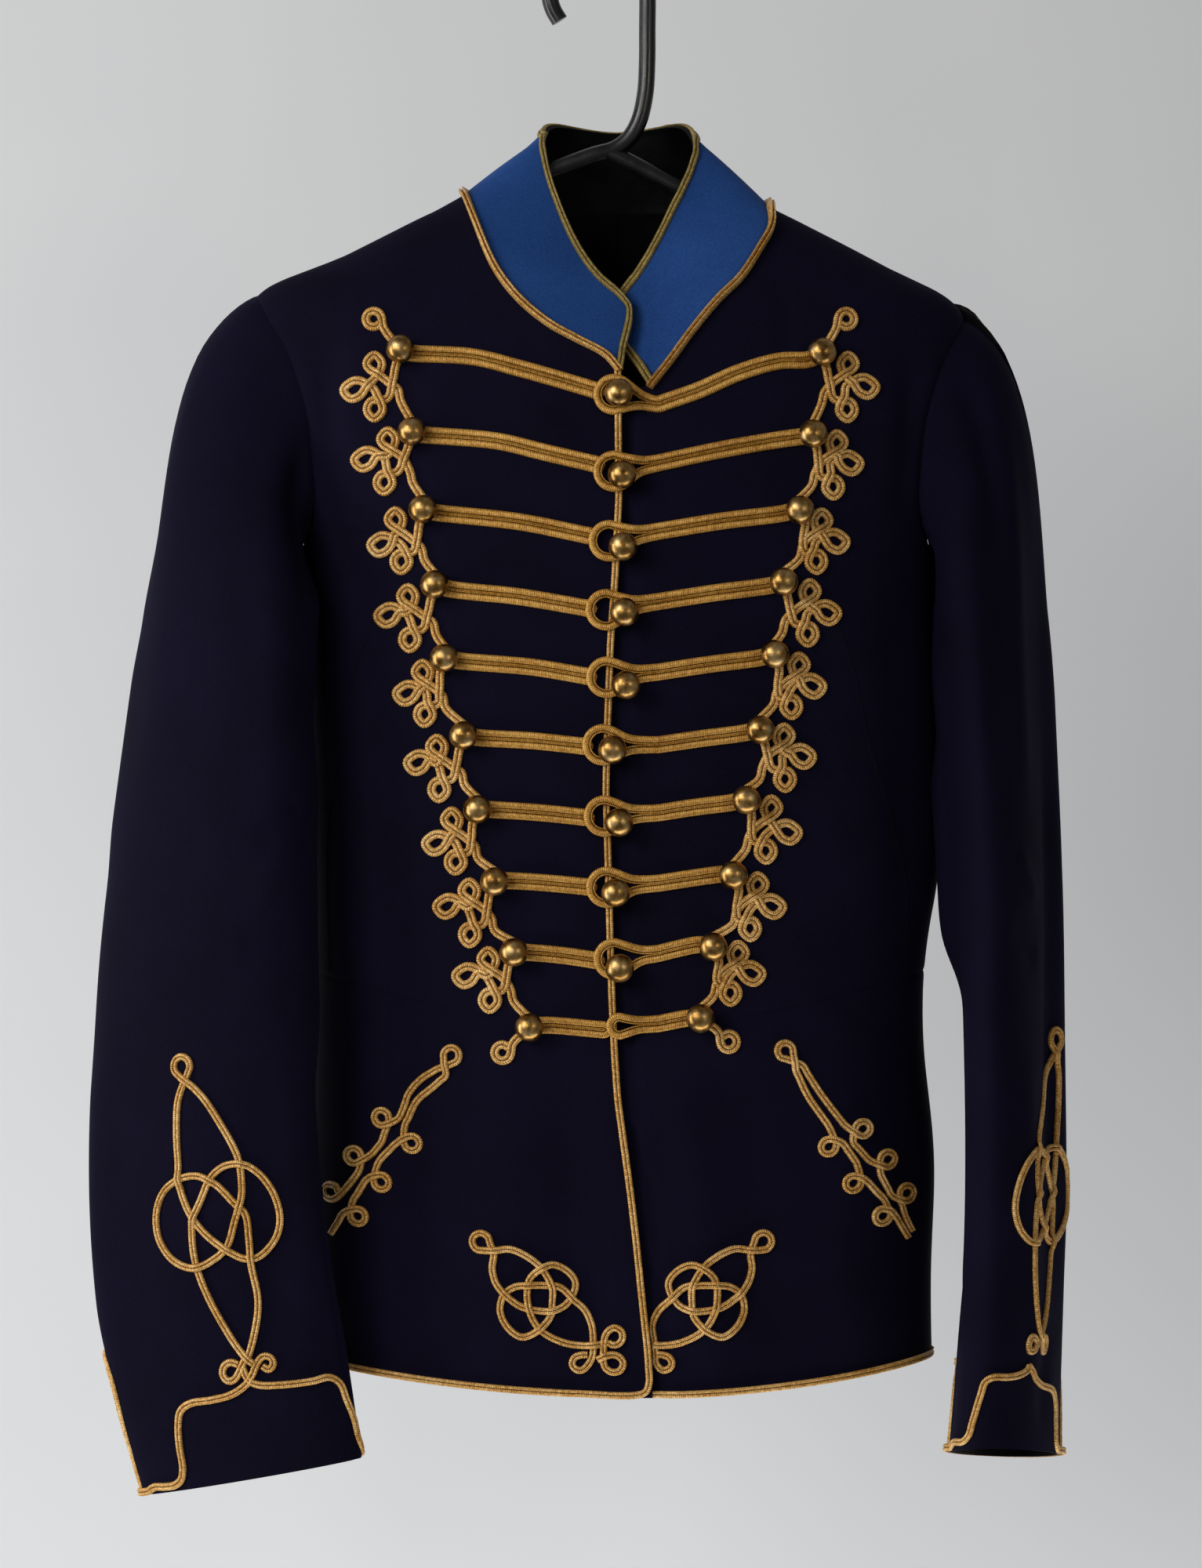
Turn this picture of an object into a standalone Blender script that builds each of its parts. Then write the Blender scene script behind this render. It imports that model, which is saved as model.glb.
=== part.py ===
"""Hussar jacket hanging closed on a hanger, in metres, +Z up, front towards -Y.

The origin is where the hanger's hook bears on a rail. The body is one smooth surface round the
chest; each panel is a patch of it between its own seams, given the cloth's thickness inwards.
Braid is cut flat in the plane of its panel and laid on the panel's own points, moved out.
"""
import math

import bmesh
import bpy
import numpy as np
from mathutils import Vector
from mathutils.geometry import delaunay_2d_cdt, intersect_point_line

MM = 0.001
CLOTH = 2.0 * MM
SEAM = 0.3 * MM
BRAID_GAP = 0.4 * MM
FROG_GAP = 0.9 * MM
FLAT_ANGLE = 2.5
FROG_FOLD = 6.0
TRIM_FOLD = 4.0
EDGE_FOLD = 1.0
STRAIGHT = 0.12 * MM
LAP_CLEARANCE = 1.2 * MM
CENTRE_X = 10.0 * MM
SQUARENESS = 2.5

# Body, measured from the centre front line, in millimetres.
BODY_COLUMNS = ("z", "left", "right", "front", "back")
BODY = (
    (-120.0, 44.0, 44.0, 30.0, 30.0),
    (-140.5, 84.0, 84.0, 37.0, 37.0),
    (-165.0, 133.0, 132.0, 46.0, 45.0),
    (-198.0, 200.0, 191.0, 56.0, 54.0),
    (-222.0, 203.0, 196.0, 62.0, 59.0),
    (-265.0, 192.0, 189.0, 72.0, 66.0),
    (-300.0, 181.0, 181.0, 79.0, 70.0),
    (-340.0, 174.0, 177.0, 84.0, 73.0),
    (-400.0, 172.0, 179.0, 87.0, 74.0),
    (-460.0, 170.0, 181.0, 86.0, 72.0),
    (-510.0, 169.0, 180.0, 83.0, 69.0),
    (-555.0, 168.0, 171.0, 81.0, 67.0),
    (-600.0, 168.0, 169.0, 81.0, 67.0),
    (-700.0, 172.0, 173.0, 84.0, 69.0),
    (-820.0, 176.0, 176.0, 86.0, 71.0),
)
BODY_SMOOTHING = 9.0

# Seams of the body in the front view: x out from the centre line, z down from the rail.
NECKLINE_LEFT = ((84.0, -140.5), (78.0, -156.0), (67.0, -179.0), (54.0, -196.5), (37.0, -211.0),
                 (21.0, -220.0), (5.5, -228.5), (-2.5, -238.0))
NECKLINE_RIGHT = ((84.0, -140.5), (85.0, -155.0), (79.0, -168.0), (68.0, -185.0), (56.0, -197.0),
                  (42.0, -214.0), (29.0, -232.0), (18.0, -246.0))
NECKLINE_BACK = ((84.0, -140.5), (62.0, -146.5), (33.0, -149.5), (0.0, -150.5))
SHOULDER_TIP_Z = -198.0
ARMHOLE_FRONT = ((198.0, -198.0), (191.0, -212.0), (181.0, -230.0), (174.0, -250.0), (170.0, -266.0),
                 (167.5, -287.0), (166.5, -310.0), (170.0, -326.0), (176.0, -336.0))
ARMHOLE_BACK = ((198.0, -198.0), (189.0, -214.0), (180.0, -236.0), (175.0, -262.0), (172.0, -290.0),
                (173.0, -318.0), (176.0, -336.0))
WAIST_CENTRE_Z = -594.0
WAIST_SIDE_Z = -566.0
HEM_CENTRE_Z = -797.0
HEM_SIDE_Z = -779.0
FRONT_EDGE = ((-238.0, 2.5), (-308.0, 3.0), (-349.0, 1.0), (-386.0, -1.5), (-427.0, -3.0),
              (-465.0, -4.0), (-498.0, -3.0), (-538.0, -2.0), (-581.0, -0.7), (-609.0, 0.6),
              (-634.0, 2.3), (-687.0, 9.5), (-710.0, 12.2), (-748.0, 16.1), (-775.0, 19.0),
              (-797.0, 19.5))
UNDERLAP = 17.0
UNDERLAP_STEP = 1.5
LAP_RAMP = 14.0

NECK_ROWS = 5
ARMHOLE_ROWS = 7
ARMHOLE_CENTRE_Z = -290.0
SIDE_ROWS = 7
SKIRT_ROWS = 4
BODY_COLUMNS_ACROSS = 6

# Sleeves: one row for each ring, in millimetres. long and short are the half axes of the ring,
# turn is the angle of its long axis back from the outer side, tip and lean are its slopes to the
# inner side and to the back.
SLEEVE_COLUMNS = ("z", "x", "y", "long", "short", "turn", "tip", "lean")
SLEEVE_LEFT = (
    (-366.0, -212.0, -34.0, 60.0, 38.5, 48.0, 0.00, 0.00),
    (-430.0, -218.0, -37.0, 64.0, 37.0, 45.0, 0.00, 0.00),
    (-500.0, -223.5, -41.0, 67.0, 35.0, 40.0, 0.00, 0.00),
    (-570.0, -226.5, -47.0, 68.5, 34.0, 34.0, 0.00, 0.00),
    (-650.0, -226.0, -55.0, 69.0, 30.0, 27.0, 0.03, 0.00),
    (-720.0, -221.0, -63.0, 68.0, 26.0, 20.0, 0.08, 0.00),
    (-777.0, -212.0, -70.0, 67.0, 23.0, 16.0, 0.14, 0.00),
    (-840.0, -198.0, -77.0, 61.5, 20.0, 14.0, 0.19, 0.00),
)
SLEEVE_RIGHT = (
    (-366.0, 206.0, -8.0, 62.0, 27.0, 76.0, 0.00, 0.00),
    (-431.0, 210.5, -9.0, 64.0, 25.5, 77.0, 0.00, 0.00),
    (-520.0, 215.5, -12.0, 66.0, 24.5, 78.0, 0.00, 0.00),
    (-606.0, 217.5, -17.0, 66.0, 23.5, 78.0, 0.00, 0.00),
    (-670.0, 218.0, -22.0, 65.0, 23.5, 78.0, 0.00, -0.02),
    (-721.0, 217.5, -27.0, 63.0, 24.0, 77.0, 0.00, -0.05),
    (-780.0, 216.0, -33.0, 60.0, 26.0, 74.0, 0.00, -0.09),
    (-831.0, 213.5, -38.0, 58.0, 27.5, 72.0, 0.00, -0.13),
)
CAP_ROWS = 5
UNDERARM_CLEARANCE = 0.6 * MM
UNDER_SLEEVE_FROM = 6
UNDER_SLEEVE_TO = 11

# Collar top edge, station by station from the centre front round to the centre back.
COLLAR_TOP_LEFT = ((9.0, -46.5, -198.0), (-3.0, -44.0, -189.5), (-13.5, -39.5, -178.5),
                   (-23.0, -32.0, -166.5), (-30.5, -25.0, -153.0), (-36.0, -17.0, -138.0),
                   (-40.0, -8.0, -121.0), (-39.5, 3.0, -108.0))
COLLAR_TOP_RIGHT = ((3.0, -33.0, -190.5), (12.0, -34.0, -180.0), (19.5, -33.0, -169.0),
                    (27.0, -28.5, -157.0), (34.5, -22.5, -144.0), (40.5, -15.0, -131.0),
                    (44.5, -6.0, -119.0), (43.5, 4.0, -108.0))
COLLAR_TOP_BACK = ((41.5, 3.5, -108.0), (37.5, 15.0, -104.0), (33.0, 21.0, -103.5), (27.5, 26.0, -104.0),
                   (21.0, 29.5, -105.0), (14.0, 32.0, -106.0), (7.0, 33.2, -107.0),
                   (0.0, 33.5, -107.5))
COLLAR_ROWS = 2
COLLAR_SEAM = 0.6

# Frogging: one row for each bar. Outer ends at the side buttons, inner ends at the front edge,
# and the centre button of the row.
FROG_COLUMNS = ("left_x", "left_z", "left_in", "right_x", "right_z", "right_in", "ball_x", "ball_z")
FROGS = (
    (-117.0, -226.5, -248.5, 111.0, -228.5, -256.0, 1.0, -252.0),
    (-110.0, -272.0, -289.0, 105.5, -273.0, -288.0, 3.0, -296.5),
    (-104.0, -314.0, -328.0, 99.0, -313.0, -325.5, 3.5, -335.0),
    (-97.5, -355.0, -367.5, 89.5, -353.5, -364.0, 4.0, -370.0),
    (-92.0, -394.5, -404.5, 84.5, -392.5, -402.0, 5.0, -409.5),
    (-82.0, -436.5, -442.5, 77.0, -433.5, -441.5, -2.5, -444.0),
    (-74.5, -476.5, -481.0, 69.5, -471.5, -478.5, 1.0, -483.5),
    (-65.5, -515.5, -519.0, 62.5, -512.0, -517.0, -0.5, -521.5),
    (-55.0, -554.5, -559.0, 52.0, -551.5, -555.0, 1.5, -563.0),
    (-47.0, -595.5, -597.0, 45.0, -590.5, -593.5, -1.0, -599.0),
)
BAR_WIDTH = 9.0
CORD_WIDTH = 4.5
RING_SIDES = 6
EYE_SIDES = 4
BRAID_RISE = 1.8
BALL_RADIUS = 7.0
BALL_ON_BAR = 6.0
LOOP_OUTER = 10.2
LOOP_EYE = 5.9
LOOP_START = 7.6
LOOP_SIDES = 7
LOOP_EYE_SIDES = 6
LOOP_LIFT = 2.6
BALL_ON_LOOP = 4.72
LINK_STOP = 7.6
EDGE_WIDTH = 3.8
EDGE_OVERHANG = 0.1
COLLAR_OVERHANG = 0.2
BACK_STOP = 1.2 * MM
EDGE_RISE = 1.5
SIDE_STOP = 0.7 * MM
# Loop centres of a trefoil, out from the side button and up from it.
TREFOIL_LOOPS = ((15.0, -4.5), (26.0, -16.5), (13.2, -29.5))
TREFOIL_HEART = (7.5, -18.0)
TREFOIL_OUTER = 7.6
TREFOIL_EYE = 3.4
LINK = ((1.8, -13.5), (0.0, -24.0))

POCKET_CORD = 3.9
POCKET_DISC = 5.6
POCKET_EYE = 2.0
POCKET_TOP_LEFT = (-90.0, -611.0)
HEM_CORD = 3.8
CORD_TOLERANCE = 1.3
CUFF_CORD = 3.7
POCKET_LEFT_INNER = ((-92.0, -614.0), (-98.5, -619.5), (-106.3, -623.9), (-113.2, -631.7),
                     (-117.5, -642.0), (-124.0, -650.0), (-129.0, -660.0), (-136.0, -668.0),
                     (-143.0, -677.0), (-148.0, -685.0))
POCKET_LEFT_OUTER = ((-91.0, -614.0), (-96.0, -624.0), (-101.5, -631.0), (-109.0, -637.0), (-114.5, -647.5),
                     (-121.0, -658.0), (-129.0, -668.6), (-133.5, -676.5), (-140.0, -685.0),
                     (-146.5, -694.0), (-151.0, -700.5))
POCKET_DISCS_LEFT = ((-126.0, -644.5), (-141.5, -667.0), (-113.5, -657.0), (-129.5, -680.0),
                     (-143.0, -699.0))
HEM_STRAND_A = ((-70.0, -714.5), (-58.0, -716.0), (-48.0, -720.0), (-39.0, -729.0), (-35.0, -740.0),
                (-36.5, -753.0), (-43.5, -760.5), (-52.0, -763.5), (-60.0, -757.5), (-63.3, -748.0),
                (-60.5, -740.0), (-53.0, -736.0), (-42.0, -735.5), (-31.0, -736.5), (-23.0, -743.5),
                (-16.5, -750.5), (-13.0, -759.0), (-12.6, -769.0), (-14.5, -777.0))
HEM_STRAND_B = ((-68.0, -717.0), (-67.6, -726.7), (-65.1, -735.3), (-58.6, -743.0), (-50.0, -748.0),
                (-39.0, -750.0), (-29.0, -747.0), (-23.0, -739.0), (-23.0, -731.5), (-28.5, -726.0),
                (-37.0, -725.0), (-45.0, -729.5), (-48.7, -739.0), (-47.5, -749.5), (-43.5, -757.5),
                (-36.0, -763.5), (-26.0, -767.5), (-14.0, -768.5))
HEM_KNOT_SHIFT = 6.0
HEM_CORD_CLEAR = 4.0
HEM_DISC_CLEAR = 7.0
HEM_DISCS = ((-73.5, -712.0), (-17.5, -781.0), (-9.0, -768.0))
# One strand of the cuff knot, across its axis and down it; the other strand mirrors it.
CUFF_STRAND = ((0.0, 0.0), (-6.5, 10.0), (-12.0, 27.0), (-16.0, 44.0), (-17.0, 57.0), (-15.0, 71.0),
               (-9.0, 84.0), (0.0, 95.5), (9.0, 102.0), (18.5, 103.0), (28.5, 96.0), (34.0, 84.5),
               (33.0, 70.0), (27.0, 58.0), (18.0, 52.0), (8.5, 52.0), (-0.5, 57.0), (-9.0, 69.0),
               (-14.5, 79.0), (-15.5, 92.0), (-14.5, 109.0), (-12.0, 126.0), (-8.0, 142.0),
               (-1.0, 155.0), (7.0, 160.0))
CUFF_DISCS = ((0.0, -5.0), (-9.5, 161.0), (9.5, 161.0))
CUFF_KNOT_LEFT = {"around": -9.0, "down": 627.0, "slant": 7.0, "column": 2.6}
CUFF_KNOT_RIGHT = {"around": 9.0, "down": 620.0, "slant": -4.0, "column": 0.8}
CUFF_KNOT_FOOT = 163.0
# Half of the cuff braid, from the cuff edge up to its middle: away from its middle, above the edge.
CUFF_BRAID = ((55.0, 3.5), (46.0, 12.0), (46.0, 33.5), (39.0, 39.5), (0.0, 40.5))

HOOK_RADIUS = 4.75
HOOK_CROWN = 27.2
HOOK_TURNS = 12
HOOK_OPENING = -38.0
HOOK_SWEEP = 218.0
STEM_BEND_Z = -62.0
STEM_BOTTOM_Z = -89.0
ARM_ENDS_Z = (-150.0, -193.0)
ARM_APEX = (11.0, -111.0)
ARM_CLEARANCE = 1.65

BLUE_BLACK_WOOL = (0.012, 0.012, 0.025, 1.0)
ROYAL_BLUE_WOOL = (0.023, 0.06, 0.22, 1.0)
GOLD_BRAID = (0.58, 0.31, 0.05, 1.0)
EDGE_BRAID = (0.28, 0.2, 0.055, 1.0)
BRASS = (0.75, 0.48, 0.16, 1.0)
BLACK_PLASTIC = (0.01, 0.01, 0.011, 1.0)


def clear_scene():
    for thing in list(bpy.data.objects):
        bpy.data.objects.remove(thing, do_unlink=True)


def collection(name):
    made = bpy.data.collections.new(name)
    bpy.context.scene.collection.children.link(made)
    return made


def material(name, colour, roughness, metallic):
    made = bpy.data.materials.new(name)
    made.use_nodes = True
    shader = made.node_tree.nodes["Principled BSDF"]
    shader.inputs["Base Color"].default_value = colour
    shader.inputs["Roughness"].default_value = roughness
    shader.inputs["Metallic"].default_value = metallic
    made.diffuse_color = colour
    return made


def unit(vector):
    return vector / max(np.linalg.norm(vector), 1e-12)


def named_rows(columns, rows):
    return [dict(zip(columns, row)) for row in rows]


def column_at(rows, name, z, smoothing):
    """The named column of a table at height z, with the corners of its run rounded."""
    heights = [row["z"] for row in reversed(rows)]
    values = [row[name] for row in reversed(rows)]
    samples = z + smoothing * np.linspace(-1.0, 1.0, 9)
    return float(np.interp(samples, heights, values).mean())


BODY_ROWS = named_rows(BODY_COLUMNS, BODY)


def body_size(z, side, half):
    side_name = "left" if side < 0 else "right"
    half_name = "front" if half > 0 else "back"
    wide = column_at(BODY_ROWS, side_name, z, BODY_SMOOTHING)
    deep = column_at(BODY_ROWS, half_name, z, BODY_SMOOTHING)
    return wide, deep


def body_point(angle, z):
    """A point and outward normal of the body; angle 0 is the centre front, +-90 the sides."""
    sine = math.sin(math.radians(angle))
    cosine = math.cos(math.radians(angle))
    side = -1.0 if sine < 0 else 1.0
    half = 1.0 if cosine >= 0 else -1.0
    wide, deep = body_size(z, side, half)
    x_share = abs(sine) ** (2.0 / SQUARENESS)
    y_share = abs(cosine) ** (2.0 / SQUARENESS)
    step = 2.0
    wide_up, deep_up = body_size(z + step, side, half)
    wide_down, deep_down = body_size(z - step, side, half)
    wide_slope = (wide_up - wide_down) / (2.0 * step)
    deep_slope = (deep_up - deep_down) / (2.0 * step)
    power = SQUARENESS
    normal = np.array((
        side * x_share ** (power - 1.0) / wide,
        -half * y_share ** (power - 1.0) / deep,
        -x_share ** power * wide_slope / wide - y_share ** power * deep_slope / deep,
    ))
    point = np.array((side * x_share * wide, -half * y_share * deep, z))
    return point * MM + np.array((CENTRE_X, 0.0, 0.0)), unit(normal)


def angle_at(x, z, half):
    """The body angle of a place in the front or back view."""
    side = math.copysign(1.0, x)
    wide, deep = body_size(z, side, half)
    share = min(abs(x) / wide, 1.0)
    angle = math.degrees(math.asin(share ** (SQUARENESS / 2.0)))
    if half < 0:
        angle = 180.0 - angle
    return side * angle


def centre_back(side):
    """The centre back line, with the sign of zero that tells the half it belongs to."""
    return lambda z: math.copysign(0.0, side)


def spread(line, count):
    """count + 1 points at even distances along a polyline."""
    line = np.array(line, dtype=float)
    steps = np.linalg.norm(np.diff(line, axis=0), axis=1)
    along = np.concatenate(([0.0], np.cumsum(steps)))
    places = np.linspace(0.0, along[-1], count + 1)
    axes = [np.interp(places, along, line[:, axis]) for axis in range(line.shape[1])]
    return np.stack(axes, axis=1)


def thinned(line, tolerance):
    """The line less the points that lie within the tolerance of a straight run."""
    line = [np.array(spot, dtype=float) for spot in line]
    if len(line) < 3:
        return line
    run = unit(line[-1] - line[0])
    offsets = [spot - line[0] for spot in line]
    away = [abs(run[0] * offset[1] - run[1] * offset[0]) for offset in offsets]
    far = int(np.argmax(away))
    if away[far] < tolerance:
        return [line[0], line[-1]]
    return thinned(line[:far + 1], tolerance)[:-1] + thinned(line[far:], tolerance)


def front_edge_x(z):
    heights = [row[0] for row in reversed(FRONT_EDGE)]
    places = [row[1] for row in reversed(FRONT_EDGE)]
    return float(np.interp(z, heights, places))


def side_z(centre_z, side_z_value, angle):
    """A level seam's height, which rises from the centre to the side."""
    share = abs(math.sin(math.radians(angle)))
    return centre_z + (side_z_value - centre_z) * share ** 1.5


def patch_domain(side, half, neckline, armhole, centre_x_at):
    """The (angle, z) places of one quarter of the body, shoulder to waist, centre to side."""
    neck = [(angle_at(side * x, z, half), z) for x, z in spread(neckline, NECK_ROWS)]
    neck[0] = (side * 90.0, neckline[0][1])
    arm = [(angle_at(side * x, z, half), z) for x, z in spread(armhole, ARMHOLE_ROWS)]
    arm[0] = (side * 90.0, SHOULDER_TIP_Z)
    arm[-1] = (side * 90.0, armhole[-1][1])
    heights = list(np.linspace(neckline[-1][1], ARMHOLE_CENTRE_Z, ARMHOLE_ROWS - NECK_ROWS + 1)[1:])
    heights += list(np.linspace(ARMHOLE_CENTRE_Z, WAIST_CENTRE_Z, SIDE_ROWS + 1)[1:])
    for z in heights:
        neck.append((angle_at(centre_x_at(z), z, half), z))
    for z in np.linspace(armhole[-1][1], WAIST_SIDE_Z, SIDE_ROWS + 1)[1:]:
        arm.append((side * 90.0, z))
    domain = np.zeros((len(neck), BODY_COLUMNS_ACROSS + 1, 2))
    for r, (inner, outer) in enumerate(zip(neck, arm)):
        for c, u in enumerate(np.linspace(0.0, 1.0, BODY_COLUMNS_ACROSS + 1)):
            angle = inner[0] + (outer[0] - inner[0]) * u
            level = max(0.0, (r - ARMHOLE_ROWS) / SIDE_ROWS)
            fall = u * (2.0 - u) * (1.0 - level) + abs(math.sin(math.radians(angle))) ** 1.5 * level
            domain[r, c] = (angle, inner[1] + (outer[1] - inner[1]) * fall)
    return domain


def skirt_domain(side, half, waist, centre_x_at):
    rows = []
    for r in range(1, SKIRT_ROWS + 1):
        v = r / SKIRT_ROWS
        row = []
        for c, (angle, z) in enumerate(waist):
            low = side_z(HEM_CENTRE_Z, HEM_SIDE_Z, angle)
            height = z + (low - z) * v
            u = c / (len(waist) - 1)
            inner = angle_at(centre_x_at(height), height, half)
            row.append((inner + (side * 90.0 - inner) * u, height))
        rows.append(row)
    return np.array(rows)


def lift_domain(domain):
    shape = domain.shape[:2]
    points = np.zeros(shape + (3,))
    normals = np.zeros(shape + (3,))
    for r in range(shape[0]):
        for c in range(shape[1]):
            points[r, c], normals[r, c] = body_point(*domain[r, c])
    return points, normals


def quarter(side, half, neckline, armhole, centre_x_at):
    upper = patch_domain(side, half, neckline, armhole, centre_x_at)
    lower = skirt_domain(side, half, upper[-1], centre_x_at)
    return lift_domain(np.concatenate((upper, lower)))


def with_underlap(points, normals):
    """The under front reaches behind the upper front: two more columns below the collar."""
    extra_points = np.zeros((points.shape[0], 2, 3))
    extra_normals = np.zeros((points.shape[0], 2, 3))
    for r in range(points.shape[0]):
        z = points[r, 0, 2] / MM
        edge = front_edge_x(z)
        for c, x in enumerate((edge - UNDERLAP, edge + UNDERLAP_STEP)):
            angle = angle_at(x, z, 1.0)
            extra_points[r, c], extra_normals[r, c] = body_point(angle, z)
    wide_points = np.concatenate((extra_points, points), axis=1)
    wide_normals = np.concatenate((extra_normals, normals), axis=1)
    return wide_points, wide_normals


def pulled_in(points, rows, columns, gap):
    """The block of a grid between two rows and two columns, drawn back from its four seams."""
    block = points[rows[0]:rows[1] + 1, columns[0]:columns[1] + 1].copy()
    source = block.copy()
    for r in range(block.shape[0]):
        block[r, 0] += unit(source[r, 1] - source[r, 0]) * gap
        block[r, -1] += unit(source[r, -2] - source[r, -1]) * gap
    for c in range(block.shape[1]):
        block[0, c] += unit(source[1, c] - source[0, c]) * gap
        block[-1, c] += unit(source[-2, c] - source[-1, c]) * gap
    return block


def mesh_object(name, bm, finish, parts):
    bmesh.ops.remove_doubles(bm, verts=bm.verts, dist=1e-6)
    bmesh.ops.triangulate(bm, faces=[face for face in bm.faces if len(face.verts) > 3])
    if bm.calc_volume(signed=True) < 0:
        bmesh.ops.reverse_faces(bm, faces=bm.faces)
    mesh = bpy.data.meshes.new(name)
    bm.to_mesh(mesh)
    bm.free()
    mesh.materials.append(finish)
    made = bpy.data.objects.new(name, mesh)
    parts.objects.link(made)
    mesh.shade_smooth()
    mesh.set_sharp_from_angle(angle=math.radians(40))
    return made


def solid_between(name, outer, inner, triangles, finish, parts):
    """A closed solid from matching outer and inner points and the triangles of one side."""
    bm = bmesh.new()
    top = {}
    low = {}
    for key in sorted({key for triangle in triangles for key in triangle}):
        top[key] = bm.verts.new(outer[key])
        low[key] = bm.verts.new(inner[key])
    edges = {}
    for triangle in triangles:
        bm.faces.new([top[key] for key in triangle])
        bm.faces.new([low[key] for key in reversed(triangle)])
        for i in range(3):
            a, b = triangle[i], triangle[(i + 1) % 3]
            edges[(a, b)] = edges.get((a, b), 0) + 1
    for a, b in edges:
        if (b, a) not in edges:
            bm.faces.new((top[b], top[a], low[a], low[b]))
    return mesh_object(name, bm, finish, parts)


def grid_triangles(rows, columns, skipped=()):
    triangles = []
    for r in range(rows - 1):
        for c in range(columns - 1):
            if (r, c) in skipped:
                continue
            triangles.append(((r, c), (r + 1, c), (r + 1, c + 1)))
            triangles.append(((r, c), (r + 1, c + 1), (r, c + 1)))
    return triangles


def cloth(name, points, normals, finish, parts, skipped=(), thickness=CLOTH):
    """A wall of cloth from a grid of outer points."""
    outer = {}
    inner = {}
    for r in range(points.shape[0]):
        for c in range(points.shape[1]):
            outer[(r, c)] = points[r, c]
            inner[(r, c)] = points[r, c] - normals[r, c] * thickness
    triangles = grid_triangles(points.shape[0], points.shape[1], skipped)
    return solid_between(name, outer, inner, triangles, finish, parts)


class Ground:
    """The faces that braid is laid on, with the flat places where its pattern is drawn."""

    def __init__(self, points, normals, flat, skipped=()):
        columns = points.shape[1]
        self.flat = flat.reshape(-1, 2)
        self.points = points.reshape(-1, 3)
        self.normals = normals.reshape(-1, 3)
        triangles = grid_triangles(points.shape[0], columns, skipped)
        self.faces = np.array([[r * columns + c for r, c in triangle] for triangle in triangles])
        a, b, c = (self.flat[self.faces[:, i]] for i in range(3))
        self.start = a
        self.along = b - a
        self.across = c - a
        self.area = self.along[:, 0] * self.across[:, 1] - self.across[:, 0] * self.along[:, 1]

    def folded_edges(self, angle):
        """The edges where two faces meet at more than this fold, in degrees."""
        facing = {}
        for face in self.faces:
            a, b, c = self.points[face]
            normal = unit(np.cross(b - a, c - a))
            for i in range(3):
                edge = tuple(sorted((int(face[i]), int(face[(i + 1) % 3]))))
                facing.setdefault(edge, []).append(normal)
        least = math.cos(math.radians(angle))
        return sorted(edge for edge, normals in facing.items()
                      if len(normals) == 1 or normals[0] @ normals[1] < least)

    def over(self, spot):
        """Point and normal of the ground over a flat spot, from the face that it lies on."""
        away = np.array(spot) - self.start
        second = (away[:, 0] * self.across[:, 1] - self.across[:, 0] * away[:, 1]) / self.area
        third = (self.along[:, 0] * away[:, 1] - away[:, 0] * self.along[:, 1]) / self.area
        shares = np.stack((1.0 - second - third, second, third), axis=1)
        best = int(shares.min(axis=1).argmax())
        corners = self.faces[best]
        point = shares[best] @ self.points[corners]
        normal = shares[best] @ self.normals[corners]
        return point, unit(normal)

    def edges_near(self, low, high, angle):
        """The folded edges that reach into a flat box."""
        near = []
        for edge in self.folded_edges(angle):
            ends = self.flat[list(edge)]
            if (ends.max(axis=0) > low).all() and (ends.min(axis=0) < high).all():
                near.append(edge)
        return near


def strip(line, width):
    """Flat quads of one width along a polyline, mitred at its corners."""
    line = [np.array(spot, dtype=float) for spot in line]
    count = len(line)
    left = []
    right = []
    for i in range(count):
        before = line[max(i - 1, 0)]
        after = line[min(i + 1, count - 1)]
        run_in = unit(line[i] - before) if np.any(line[i] != before) else unit(after - line[i])
        run_out = unit(after - line[i]) if np.any(line[i] != after) else run_in
        along = unit(run_in + run_out)
        across = np.array((-along[1], along[0]))
        reach = width / 2.0 / max(abs(float(np.dot(across, (-run_in[1], run_in[0])))), 0.6)
        left.append(line[i] + across * reach)
        right.append(line[i] - across * reach)
    quads = []
    for i in range(count - 1):
        quads.append([left[i], right[i], right[i + 1], left[i + 1]])
    return quads


def disc(centre, radius, sides):
    corners = []
    for i in range(sides):
        angle = 2.0 * math.pi * (i + 0.5) / sides
        corners.append((centre[0] + radius * math.cos(angle), centre[1] + radius * math.sin(angle)))
    return [corners]


def eyes(spots, radius):
    """The open middles of loops of cord."""
    return [corners for spot in spots for corners in disc(spot, radius, EYE_SIDES)]


def counter_clockwise(corners):
    area = 0.0
    for i, a in enumerate(corners):
        b = corners[(i + 1) % len(corners)]
        area += a[0] * b[1] - b[0] * a[1]
    return list(corners) if area > 0 else list(reversed(corners))


def plan_mesh(shapes, holes, ground, fold):
    """Flat shapes joined into one less the holes, and cut where the ground folds."""
    verts = []
    faces = []
    for corners in shapes + holes:
        faces.append(list(range(len(verts), len(verts) + len(corners))))
        verts.extend((float(x), float(y)) for x, y in counter_clockwise(corners))
    spots = np.array(verts)
    edges = []
    places = {}
    for pair in ground.edges_near(spots.min(axis=0), spots.max(axis=0), fold):
        for index in pair:
            if index not in places:
                places[index] = len(verts)
                verts.append(tuple(float(value) for value in ground.flat[index]))
        edges.append((places[pair[0]], places[pair[1]]))
    result = delaunay_2d_cdt([Vector(spot) for spot in verts], edges, faces, 1, 2e-5)
    bm = bmesh.new()
    corners_flat = [bm.verts.new((spot.x, spot.y, 0.0)) for spot in result[0]]
    for triangle, shapes_over in zip(result[2], result[5]):
        if shapes_over and max(shapes_over) < len(shapes):
            bm.faces.new([corners_flat[index] for index in triangle])
    bmesh.ops.delete(bm, geom=[vert for vert in bm.verts if not vert.link_faces], context="VERTS")
    return bm


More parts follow.
